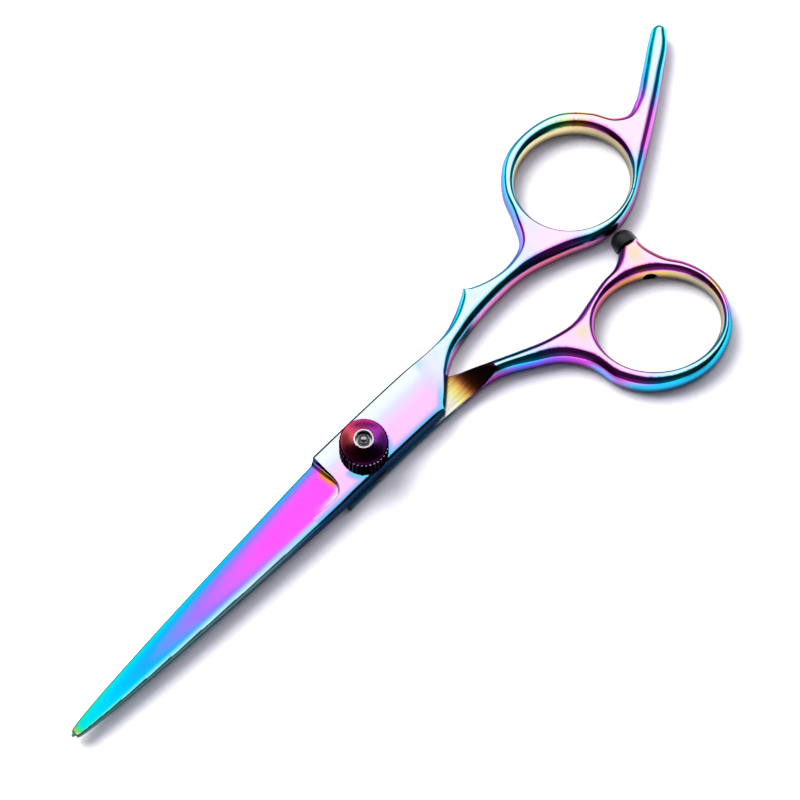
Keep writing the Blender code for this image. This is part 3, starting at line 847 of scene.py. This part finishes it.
def film_depth(nodes, p, thumb):
    """Film depth on the flat tops: plate, shank, ring and tang."""
    if thumb:
        shank = nodes.curve(nodes.share(p.x, 20, 60), THUMB_SHANK)
        ring = rounds(nodes, p, THUMB_HOLE, THUMB_RING)
        return nodes.mix_value(nodes.remap(p.x, 42, 45), shank, ring)
    shank = nodes.curve(nodes.share(p.x, -10, 60), FINGER_SHANK)
    ring = rounds(nodes, p, FINGER_HOLE, FINGER_RING)
    tang = nodes.curve(nodes.share(p.x, 78, 100), FINGER_TANG)
    depth = nodes.mix_value(nodes.remap(p.x, 50, 54), shank, ring)
    return nodes.mix_value(nodes.remap(p.x, 77, 81), depth, tang)


def wall_colour(nodes, p, thumb):
    """Colour of the steep sides, with painted shade where they face down and a painted highlight where they
    face back.
    """
    if thumb:
        walls = nodes.ramp(nodes.share(p.x, 20, 70), THUMB_WALLS)
        walls = nodes.mix(nodes.remap(p.y, -21.5, -26.5), walls, screen(RING_BOTTOM_WALLS))
        hole_walls = nodes.ramp(nodes.share(p.x, 44, 67), THUMB_HOLE_WALLS)
    else:
        walls = nodes.ramp(nodes.share(p.x, 20, 100), FINGER_WALLS)
        hole_walls = nodes.ramp(nodes.share(p.x, 54, 75), FINGER_HOLE_WALLS)
    walls = nodes.mix(nodes.remap(p.side, -0.25, -0.6), walls, screen(LEFT_WALLS))
    # The plates' sides take the near-black painted shade
    walls = nodes.mix(p.on_plate, walls, screen(THUMB_PLATE_WALL_PAINTED_DARK if thumb else FINGER_PLATE_WALL_PAINTED_DARK))
    colour = nodes.mix(p.hole_side, walls, hole_walls)
    # Painted shade: darker as a side faces down towards the floor
    colour = nodes.scale_colour(colour, nodes.remap(p.nz, -0.25, 0.35, 0.38, 1.0))
    # Painted highlight: nearly white where a side faces back
    return nodes.mix(nodes.remap(p.lean, 0.55, 0.75), colour, (0.97, 0.95, 1.0))


def top_colour(nodes, p, thumb):
    """Colour of the tops: a painted highlight, nearly white, where flat, and deeper as a face tips away."""
    # The plate turns blue along its rounded side and its slanted end
    low_side = nodes.times(nodes.fall(p.y, -1.0, 0.0), p.on_plate)
    slanted = nodes.times(nodes.remap(p.x, 15.0, 17.5), p.on_plate)
    turned_blue = nodes.times(nodes.fall(p.gap, 0.45, 2.3), nodes.highest(low_side, slanted))
    depth = nodes.minus(film_depth(nodes, p, thumb), nodes.times(turned_blue, 0.44))
    depth = nodes.plus(depth, p.wander)
    away = nodes.remap(p.lean, 0.15, 0.5)
    tops = film(nodes, nodes.plus(depth, nodes.times(away, 0.045)))
    tipped = nodes.highest(nodes.remap(p.lean, 0.02, -0.16), nodes.remap(p.lean, 0.22, 0.5),
                           nodes.remap(p.side, 0.10, 0.42), nodes.remap(p.side, -0.05, -0.35))
    # Painted highlight: how nearly white the flat tops are painted
    flat_highlight = nodes.minus(0.72 if thumb else 0.80, nodes.times(p.on_plate, 0.24))
    flat_highlight = nodes.minus(flat_highlight, nodes.times(turned_blue, 0.42))
    painted_highlight = nodes.times(nodes.minus(1.0, tipped), flat_highlight)
    # and a painted highlight, nearly white, along its sharp side
    painted_rim_highlight = nodes.times(nodes.remap(p.y, -0.6, 4.6), p.on_plate)
    tops = nodes.mix(nodes.times(painted_rim_highlight, 0.8), tops, screen((120, 235, 245)))
    painted_highlight = nodes.highest(painted_highlight, nodes.times(painted_rim_highlight, 0.85))
    return nodes.mix(painted_highlight, tops, (0.99, 0.99, 1.0))


def rear_strip(nodes, p):
    """The strip of the thumb half's plate that shows beside the finger half's."""
    return nodes.times(nodes.remap(p.y, -3.4, -4.0), p.on_plate)


def handle_colour(nodes, p, thumb):
    """Colour of plate, shank, ring and tang."""
    plate_steep = nodes.times(nodes.fall(p.nz, 0.80, 0.95), p.on_plate)
    steep = nodes.highest(nodes.fall(p.nz, 0.36, 0.66), plate_steep)
    handle = nodes.mix(steep, top_colour(nodes, p, thumb), wall_colour(nodes, p, thumb))
    # Shoulders and flanks of the handles are painted darker: a painted reflection of the dark room
    painted_dark_shoulder = nodes.times(nodes.remap(p.lean, 0.24, 0.42), nodes.fall(p.lean, 0.60, 0.74))
    painted_dark_flank = nodes.math('ABSOLUTE', p.side)
    painted_dark_flank = nodes.times(nodes.remap(painted_dark_flank, 0.24, 0.38), nodes.fall(painted_dark_flank, 0.50, 0.66),
                        nodes.remap(p.nz, 0.3, 0.6))
    painted_room_reflection = nodes.times(nodes.highest(painted_dark_shoulder, painted_dark_flank), nodes.minus(1.0, p.on_plate))
    handle = nodes.scale_colour(handle, nodes.minus(1.0, nodes.times(painted_room_reflection, 0.66)))
    # A painted dark line along the plate's sharp side, a painted reflection of the dark room, and a painted
    # highlight line at the foot of its rounded side
    painted_dark_edge_line = nodes.times(nodes.fall(p.gap, 0.42, 0.58), nodes.fall(p.x, 30, 34),
                            nodes.remap(p.y, 2.0, 3.0))
    painted_highlight_line = nodes.times(nodes.fall(p.z, 3.22, 3.42), p.on_plate, nodes.remap(p.y, -3.0, -4.0))
    handle = nodes.mix(painted_dark_edge_line, handle, screen((18, 52, 54)))
    handle = nodes.mix(painted_highlight_line, handle, (0.8, 0.88, 0.95))
    if not thumb:
        return handle
    # The thumb plate's strip beside the finger half is painted dark: painted shade
    handle = nodes.mix(rear_strip(nodes, p), handle, screen(THUMB_PLATE_WALL_PAINTED_DARK))
    gold = nodes.highest(*[nodes.spot(p.at, centre, radius) for centre, radius in GOLD_SPOTS])
    gold = nodes.times(gold, nodes.remap(p.nz, 0.75, 0.92, 0.0, 0.55))
    return nodes.mix(gold, handle, screen((240, 226, 130)))


def blade_colour(nodes, p, plate_wall_painted_dark):
    """The coat thins from heel to tip and towards both edges."""
    from_middle = nodes.minus(p.across, 0.46)
    toward_edge = nodes.math('DIVIDE', nodes.highest(from_middle, 0.0), 0.52)
    toward_spine = nodes.math('DIVIDE', nodes.highest(nodes.times(from_middle, -1.0), 0.0), 0.40)
    drop = nodes.plus(nodes.math('POWER', toward_edge, 2.1), nodes.math('POWER', toward_spine, 2.4))
    reach = nodes.share(p.x, TIP_X, HEEL_X, 0.16, 1.22)
    thick = nodes.times(reach, nodes.minus(1.0, nodes.times(drop, 0.66)))
    thick = nodes.math('MINIMUM', thick, 0.965)
    by_step = nodes.times(nodes.fall(p.past_step, 0.5, 2.3, 0.095), nodes.remap(p.y, -1.8, 1.2))
    depth = nodes.plus(nodes.share(thick, 0.0, 0.96, 0.23, 0.895), by_step)
    blade = film(nodes, nodes.minus(depth, nodes.fall(p.x, -73.2, -70.5, 0.14)))
    # Painted highlight, nearly white, along the spine and round the step's corner; blue towards the plate
    painted_spine_highlight = nodes.times(nodes.fall(p.across, 0.05, 0.24), nodes.remap(p.x, -70, -22, 0.30, 0.9))
    painted_corner_highlight = nodes.times(nodes.fall(p.past_step, 0.0, 1.5, 0.9), nodes.remap(p.across, 0.45, 0.25),
                         nodes.remap(p.x, -15.2, -9.0))
    blade = nodes.mix(nodes.highest(painted_spine_highlight, painted_corner_highlight), blade, (0.80, 0.98, 1.0))
    blue_land = nodes.times(nodes.fall(p.gap, 0.45, 1.6), nodes.remap(p.x, -34, -12),
                            nodes.fall(p.across, 0.30, 0.40))
    blade = nodes.mix(blue_land, blade, screen((40, 205, 235)))
    # The blade's steep sides take a dark teal: painted shade along the spine's side
    painted_dark_wall = nodes.mix(nodes.remap(p.x, -32, -16), screen((70, 112, 112)), screen(plate_wall_painted_dark))
    blade = nodes.mix(nodes.fall(p.nz, 0.45, 0.80), blade, painted_dark_wall)
    # Thin painted dark lines along both edges, and painted shade low on the spine's side
    painted_dark_edge = nodes.times(nodes.fall(p.gap, 0.18, 0.32, 0.8), nodes.remap(p.nz, 0.3, 0.6))
    blade = nodes.mix(painted_dark_edge, blade, screen((60, 104, 100)))
    painted_low_shade = nodes.times(nodes.fall(p.z, 3.20, 3.90, 0.9), nodes.fall(p.across, 0.1, 0.3))
    return nodes.mix(painted_low_shade, blade, screen((60, 92, 96)))


def ground_share(nodes, p, thumb):
    """1 on the ground inner face of a half's blade, plate and neck."""
    facing = nodes.remap(p.nz, 0.5, 0.7) if thumb else nodes.fall(p.nz, -0.7, -0.5)
    share = nodes.times(facing, nodes.fall(p.x, 28.75, 28.85), nodes.remap(p.gap, 0.10, 0.18))
    if thumb:
        coated = nodes.times(rear_strip(nodes, p), nodes.fall(p.x, 13.0, 15.5))
        share = nodes.times(share, nodes.minus(1.0, coated))
    return share


def ground_colour(nodes, p):
    """Colour of the inner faces, seen at the neck and when the shears open."""
    # Painted highlight and painted shade along the neck
    neck = nodes.ramp(nodes.share(p.x, 16, 29), NECK_LIT_TO_SHADED)
    hue = film(nodes, nodes.plus(nodes.share(p.x, TIP_X, 10, 0.30, 0.88), p.wander))
    return nodes.mix(nodes.remap(p.x, 10, 16), nodes.mix(0.35, hue, (1.0, 1.0, 1.0)), neck)


def rainbow_coat(name, thumb):
    """The coat over mirror polish, with fine marks and haze, and grinding lines inside."""
    finish = Finish(name, 1.0)
    nodes = finish.nodes
    finish.shader.inputs['Specular Tint'].default_value = (0.5, 0.5, 0.58, 1.0)
    p = Place(nodes, finish.at, finish.normal)
    plate_wall_painted_dark = THUMB_PLATE_WALL_PAINTED_DARK if thumb else FINGER_PLATE_WALL_PAINTED_DARK
    on_blade = nodes.highest(nodes.remap(p.past_step, -0.06, 0.06), nodes.remap(p.x, -12, -22))
    colour = nodes.mix(on_blade, handle_colour(nodes, p, thumb), blade_colour(nodes, p, plate_wall_painted_dark))
    ground = ground_share(nodes, p, thumb)
    colour = nodes.mix(ground, colour, ground_colour(nodes, p))
    haze = nodes.noise(p.at, 0.35, 3.0)
    fine = nodes.noise(p.at, 1.6, 4.0, (0.6, 9.0, 9.0))
    streaks = nodes.noise(p.at, 1.0, 3.0, (0.10, 5.0, 0.6))
    shade = nodes.mix_value(ground, 1.0, nodes.share(streaks, 0.40, 0.60, 0.72, 1.10))
    polished = nodes.plus(nodes.remap(haze, 0.35, 0.7, 0.035, 0.075), nodes.times(fine, 0.02))
    height = nodes.mix_value(ground, nodes.times(fine, 0.02), streaks)
    return finish.surface(nodes.scale_colour(colour, shade), nodes.mix_value(ground, polished, 0.26),
                          nodes.bump(height, 0.35, 0.00003))


def dial_coat():
    """Darker coat: red, magenta and purple round the dial, darkest towards -X -Y as a painted dark
    reflection, with fine turning marks.
    """
    finish = Finish("dial_coat_polished", 1.0)
    nodes = finish.nodes
    finish.shader.inputs['Specular Tint'].default_value = (0.22, 0.12, 0.22, 1.0)
    x, y, z = nodes.split(finish.at)
    hue = nodes.ramp(nodes.turn(x, y), [
        (0.00, (175, 55, 170)), (0.12, (195, 60, 140)), (0.25, (210, 72, 112)), (0.36, (228, 96, 92)),
        (0.46, (180, 60, 82)), (0.54, (110, 25, 62)), (0.63, (62, 14, 52)), (0.75, (76, 22, 86)),
        (0.85, (135, 55, 175)), (1.00, (175, 55, 170))])
    radius = nodes.from_axis(x, y)
    # Painted dark reflection round the edge of the dome
    hue = nodes.mix(nodes.remap(radius, 3.95, 4.22), hue, screen((44, 12, 46)))
    hue = nodes.mix(nodes.fall(z, 12.0, 12.2), hue, screen((58, 12, 50)))
    # The knurls' top corners are painted near white: painted glints
    scuffs_and_glints = nodes.times(nodes.remap(z, 11.66, 11.72), nodes.fall(z, 11.86, 11.92),
                       nodes.remap(radius, 4.36, 4.42))
    hue = nodes.mix(scuffs_and_glints, hue, (0.9, 0.95, 1.0))
    marks = nodes.line_noise(nodes.times(radius, 9.0))
    dirt = nodes.noise(finish.at, 1.2, 3.0)
    rough = nodes.plus(nodes.remap(dirt, 0.4, 0.7, 0.22, 0.30), nodes.times(marks, 0.03))
    return finish.surface(hue, rough, nodes.bump(marks, 0.15, 0.00002))


def bare_metal(name, colour, roughness):
    """Turned metal with fine marks round its axis and slightly uneven polish."""
    finish = Finish(name, 1.0)
    nodes = finish.nodes
    x, y, _ = nodes.split(finish.at)
    marks = nodes.line_noise(nodes.times(nodes.from_axis(x, y), 11.0))
    cloud = nodes.noise(finish.at, 1.5, 3.0)
    dark = [value * 0.86 for value in colour]
    rough = nodes.plus(nodes.remap(cloud, 0.3, 0.7, roughness * 0.7, roughness * 1.2),
                       nodes.times(marks, 0.05))
    return finish.surface(nodes.ramp(cloud, [(0.3, dark), (0.7, colour)]), rough,
                          nodes.bump(marks, 0.2, 0.00002))


def soft_material(name, colour, roughness, grain):
    """Rubber or polymer with a fine moulded grain and faint scuffs."""
    finish = Finish(name, 0.0)
    nodes = finish.nodes
    cloud = nodes.noise(finish.at, 0.8, 4.0)
    pits = nodes.noise(finish.at, grain, 3.0)
    scuffs_and_glints = [min(value * 1.6 + 8, 255) for value in colour]
    rough = nodes.remap(cloud, 0.3, 0.7, roughness * 0.8, roughness * 1.15)
    return finish.surface(nodes.ramp(cloud, [(0.45, colour), (0.8, scuffs_and_glints)]), rough,
                          nodes.bump(pits, 0.4, 0.00002))


# ---------------------------------------------------------------- floor, light and camera

def floor():
    """A pale round tabletop under the shears."""
    mesh = bpy.data.meshes.new("tabletop")
    shape = bmesh.new()
    bmesh.ops.create_circle(shape, cap_ends=True, radius=2.5, segments=96)
    bmesh.ops.translate(shape, verts=shape.verts, vec=(0, 0, -0.00008))
    shape.to_mesh(mesh)
    shape.free()
    obj = bpy.data.objects.new("tabletop", mesh)
    bpy.context.scene.collection.objects.link(obj)
    finish = Finish("tabletop_white", 0.0)
    grain = finish.nodes.noise(finish.at, 0.9, 3.0)
    colour = finish.nodes.ramp(grain, [(0.3, (243, 242, 246)), (0.7, (248, 247, 250))])
    finish.shader.inputs['Specular IOR Level'].default_value = 0.2
    mesh.materials.append(finish.surface(colour, 0.75, finish.nodes.bump(grain, 0.05, 0.0001)))


def studio_light():
    """A soft bright ceiling that reaches down on the +Y side, over a dark room."""
    world = bpy.data.worlds.new("studio")
    bpy.context.scene.world = world
    world.use_nodes = True
    nodes = Nodes(world.node_tree)
    background = world.node_tree.nodes['Background']
    place = nodes.new('ShaderNodeTexCoord')

    def along(direction):
        node = nodes.new('ShaderNodeVectorMath', operation='DOT_PRODUCT')
        nodes.plug(node.inputs[0], place.outputs['Generated'])
        node.inputs[1].default_value = direction
        return node.outputs['Value']

    height = along((0, 0, 1))
    far = along((0.712, 0.702, 0))
    side = nodes.math('ABSOLUTE', along((0.70, -0.71, 0)))
    box = nodes.times(nodes.remap(far, 0.00, 0.18), nodes.fall(far, 0.80, 0.94),
                      nodes.fall(side, 0.62, 0.86))
    above = nodes.remap(height, 0.0, 0.12)
    band = nodes.times(nodes.remap(far, 0.6, 0.8, 0.0, 0.28), above)
    near = nodes.times(nodes.remap(far, -0.65, -0.95, 0.0, 0.12), above)
    sides = nodes.times(nodes.remap(side, 0.5, 0.7, 0.0, 0.14), nodes.remap(far, -0.2, 0.2))
    total = nodes.highest(nodes.times(box, 1.05), band, near, nodes.plus(sides, 0.03))
    light = nodes.mix(1.0, total, (1.0, 1.0, 1.0), 'MULTIPLY')
    seen = nodes.new('ShaderNodeLightPath').outputs['Is Camera Ray']
    nodes.plug(background.inputs['Color'], nodes.mix(seen, light, (1.0, 1.0, 1.0)))
    background.inputs['Strength'].default_value = 1.0


def soft_light(name, location, size, energy, colour):
    """A round lamp that lights the tabletop and shows in no reflection."""
    data = bpy.data.lights.new(name, 'AREA')
    data.shape = 'DISK'
    data.size = size
    data.energy = energy
    data.color = colour
    obj = bpy.data.objects.new(name, data)
    obj.location = location
    obj.rotation_euler = (Vector((0.01, 0, 0)) - obj.location).to_track_quat('-Z', 'Y').to_euler()
    obj.visible_glossy = False
    bpy.context.scene.collection.objects.link(obj)


def camera():
    data = bpy.data.cameras.new("camera")
    data.sensor_width = 36.0
    data.lens = CAMERA_LENS
    data.clip_start = 0.05
    data.clip_end = 20.0
    obj = bpy.data.objects.new("camera", data)
    bpy.context.scene.collection.objects.link(obj)
    azimuth, elevation = math.radians(CAMERA_AZIMUTH), math.radians(CAMERA_ELEVATION)
    back = Vector((math.sin(azimuth) * math.cos(elevation), -math.cos(azimuth) * math.cos(elevation),
                   math.sin(elevation)))
    obj.location = Vector(CAMERA_TARGET) + back * CAMERA_DISTANCE
    obj.rotation_euler = back.to_track_quat('Z', 'Y').to_euler()
    bpy.context.scene.camera = obj
    bpy.context.scene.view_settings.view_transform = 'Standard'
    bpy.context.scene.view_settings.look = 'None'


# ---------------------------------------------------------------- pivot, dial and bumper

def turned_mesh(name, profile, steps, wave=None):
    """A body turned about Z from radius, height points, closed where the radius is 0.

    wave takes a point's place in the profile and its angle, and gives a change of radius.
    """
    mesh = bpy.data.meshes.new(name)
    shape = bmesh.new()
    rows = []
    for index, (radius, height) in enumerate(profile):
        if radius == 0:
            rows.append([shape.verts.new((0, 0, height * MM))])
            continue
        row = []
        for step in range(steps):
            angle = math.tau * step / steps
            r = (radius + (wave(index, angle) if wave else 0.0)) * MM
            row.append(shape.verts.new((r * math.cos(angle), r * math.sin(angle), height * MM)))
        rows.append(row)
    if profile[0][0] and profile[-1][0]:
        rows.append(rows[0])
    for row, following in zip(rows, rows[1:]):
        for k in range(steps):
            after = (k + 1) % steps
            corners = [row[k % len(row)], row[after % len(row)],
                       following[after % len(following)], following[k % len(following)]]
            unique = list(dict.fromkeys(corners))
            if len(unique) > 2:
                shape.faces.new(unique)
    bmesh.ops.recalc_face_normals(shape, faces=shape.faces)
    shape.to_mesh(mesh)
    shape.free()
    mesh.shade_smooth()
    mesh.set_sharp_from_angle(angle=math.radians(40))
    obj = bpy.data.objects.new(name, mesh)
    bpy.context.scene.collection.objects.link(obj)
    return obj


def rounded(corners, radius_of, count=5):
    """A profile with its inner corners rounded; radius_of gives each corner's radius."""
    made = [corners[0]]
    for index in range(1, len(corners) - 1):
        here = Vector(corners[index])
        back = Vector(corners[index - 1]) - here
        ahead = Vector(corners[index + 1]) - here
        reach = min(radius_of[index], 0.49 * back.length, 0.49 * ahead.length)
        if reach <= 0:
            made.append(corners[index])
            continue
        start, end = here + back.normalized() * reach, here + ahead.normalized() * reach
        for step in range(count + 1):
            t = step / count
            made.append(tuple(start * (1 - t)**2 + here * 2 * t * (1 - t) + end * t**2))
    made.append(corners[-1])
    return made


DIAL_KNURLS = 36


def dial():
    """Knurled dial with a domed, polished top."""
    dome = [(r, 13.95 - 0.36 * (r - 2.0) - 0.115 * (r - 2.0)**2) for r in np.linspace(1.86, 4.12, 12)]
    side = [(4.22, 12.52), (4.32, 12.28), (4.40, 12.04), (4.47, 11.92), (4.50, 11.80)]
    side += [(4.50, z) for z in np.linspace(11.6, 6.6, 12)]
    side += [(4.48, 6.45), (4.40, 6.3), (4.28, 6.2), (4.1, 6.16), (1.97, 6.16)]
    profile = [(1.97, 13.36), (1.81, 13.56), (1.81, 13.94)] + dome + side
    first = len(dome) + 6

    def knurl(index, angle):
        if index < first or index > len(profile) - 5:
            return 0.0
        phase = (angle * DIAL_KNURLS / math.tau) % 1.0
        groove = max(0.0, 1.0 - abs(phase - 0.5) / 0.36)
        return -0.26 * groove**0.8

    obj = turned_mesh("dial_knurled", profile, DIAL_KNURLS * 10, knurl)
    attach(obj, "dial")
    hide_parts("tension_dial")
    obj.data.materials.append(dial_coat())
    obj.visible_glossy = False


def insert():
    """Threaded insert whose rim is the bright ring on the dial."""
    corners = [(1.66, 6.5), (1.66, 13.2), (1.52, 13.4), (1.52, 13.98), (1.56, 14.05), (1.74, 14.05),
               (1.79, 13.98), (1.79, 13.6), (1.95, 13.4), (1.95, 6.5)]
    obj = turned_mesh("insert_bright_rim", rounded(corners, (0,) + (0.02,) * 8 + (0,)), 96)
    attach(obj, "dial")
    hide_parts("dial_insert")
    obj.data.materials.append(bare_metal("steel_bright", (255, 255, 255), 0.07))


def screw():
    """Domed and threaded screw with a flush rear head and two spanner holes."""
    dome = [(0.95 * math.sin(a), 13.05 + 0.85 * math.cos(a)) for a in np.linspace(0, math.pi / 2.3, 12)]
    dome[0] = (0, 13.9)
    dome += [(0.97, 13.0), (1.0, 12.5), (1.1, 12.4), (1.42, 12.4), (1.45, 12.36)]
    thread = []
    for k in range(34):
        top = 12.0 - 0.2 * k
        thread += [(1.60, top), (1.50, top - 0.1)]
    profile = dome + [(1.45, 12.2)] + thread
    profile += [(1.60, 5.25), (1.66, 5.25), (1.66, 3.06), (2.38, 3.06), (2.4, 3.0), (2.4, 1.0),
                (4.12, 1.0), (4.2, 0.92), (4.2, 0.18), (4.12, 0.05), (4.0, 0.0), (2.0, 0.0), (0, 0.0)]
    obj = turned_mesh("screw_polished", profile, 72)
    drill = bmesh.new()
    for side in (-1, 1):
        place = Matrix.Translation((side * 2.7 * MM, 0, 0))
        bmesh.ops.create_cone(drill, cap_ends=True, segments=24, radius1=0.45 * MM,
                              radius2=0.45 * MM, depth=1.0 * MM, matrix=place)
    cut_away(obj, drill)
    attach(obj, "finger_half")
    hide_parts("pivot_screw")
    obj.data.materials.append(bare_metal("steel_polished", (205, 205, 210), 0.10))


def cut_away(obj, tool):
    """Cut a tool's shape out of an object's mesh."""
    mesh = bpy.data.meshes.new(obj.name + "_tool")
    tool.to_mesh(mesh)
    tool.free()
    cutter = bpy.data.objects.new(obj.name + "_tool", mesh)
    bpy.context.scene.collection.objects.link(cutter)
    modifier = obj.modifiers.new("cut", 'BOOLEAN')
    modifier.operation = 'DIFFERENCE'
    modifier.object = cutter
    depsgraph = bpy.context.evaluated_depsgraph_get()
    made = bpy.data.meshes.new_from_object(obj.evaluated_get(depsgraph))
    obj.modifiers.clear()
    obj.data = made
    bpy.data.objects.remove(cutter)


def bumper_place():
    """Places a body turned about Z on the bumper's axis."""
    place = Matrix.Translation(Vector((63.05, -5.7, MID)) * MM)
    return place @ Matrix.Rotation(math.radians(79), 4, 'Z') @ Matrix.Rotation(math.radians(90), 4, 'Y')


def bumper():
    """Rubber stop with a rounded end and a small foot."""
    dome = [(2.3 * math.sin(a), 1.4 + 1.9 * math.cos(a)) for a in np.linspace(0, math.pi / 2, 14)]
    dome[0] = (0, 3.3)
    foot = rounded([dome[-1], (2.4, 0.8), (2.4, 0.1), (1.3, 0.1)], (0, 0.3, 0.12, 0), 4)
    profile = dome + foot[1:] + [(1.3, 1.7), (0, 1.7)]
    obj = turned_mesh("bumper_rubber", profile, 64)
    obj.data.transform(bumper_place())
    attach(obj, "thumb_half")
    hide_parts("bumper")
    obj.data.materials.append(soft_material("rubber_black", (11, 11, 13), 0.36, 9.0))


def stud_hole(obj):
    """Drill the stud's hole through the boss into the thumb ring."""
    drill = bmesh.new()
    bmesh.ops.create_cone(drill, cap_ends=True, segments=40, radius1=1.25 * MM, radius2=1.25 * MM,
                          depth=11.0 * MM, matrix=Matrix.Translation((0, 0, -3.5 * MM)))
    bmesh.ops.transform(drill, matrix=bumper_place(), verts=drill.verts)
    cut_away(obj, drill)


def hidden_pieces():
    """Give the CAD nodes that stay a finished material of their own."""
    finishes = {
        "pivot_bush": bare_metal("bronze_turned", (205, 150, 85), 0.3),
        "click_plate": bare_metal("spring_steel_plate", (150, 152, 158), 0.28),
        "spring_washer": bare_metal("spring_steel_washer", (150, 152, 158), 0.28),
        "bumper_screw": bare_metal("steel_stud", (190, 190, 195), 0.2),
        "ride_washer": soft_material("polymer_ride_washer", (26, 32, 36), 0.4, 6.0),
        "friction_washer": soft_material("polymer_friction_washer", (26, 32, 36), 0.4, 6.0),
    }
    for name, finish in finishes.items():
        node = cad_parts[name]
        for slot in node.material_slots:
            slot.material = finish


camera()
studio_light()
soft_light("key", (-0.08, 0.55, 0.75), 0.80, 14.0, (1.0, 0.99, 0.96))
soft_light("fill", (0.05, 0.05, 1.30), 1.6, 8.8, (0.84, 0.82, 1.0))
floor()
FINGER = finger_half()
THUMB = thumb_half()
stud_hole(THUMB)
FINGER.data.materials.append(rainbow_coat("rainbow_coat_finger", False))
THUMB.data.materials.append(rainbow_coat("rainbow_coat_thumb", True))
dial()
insert()
screw()
bumper()
hidden_pieces()
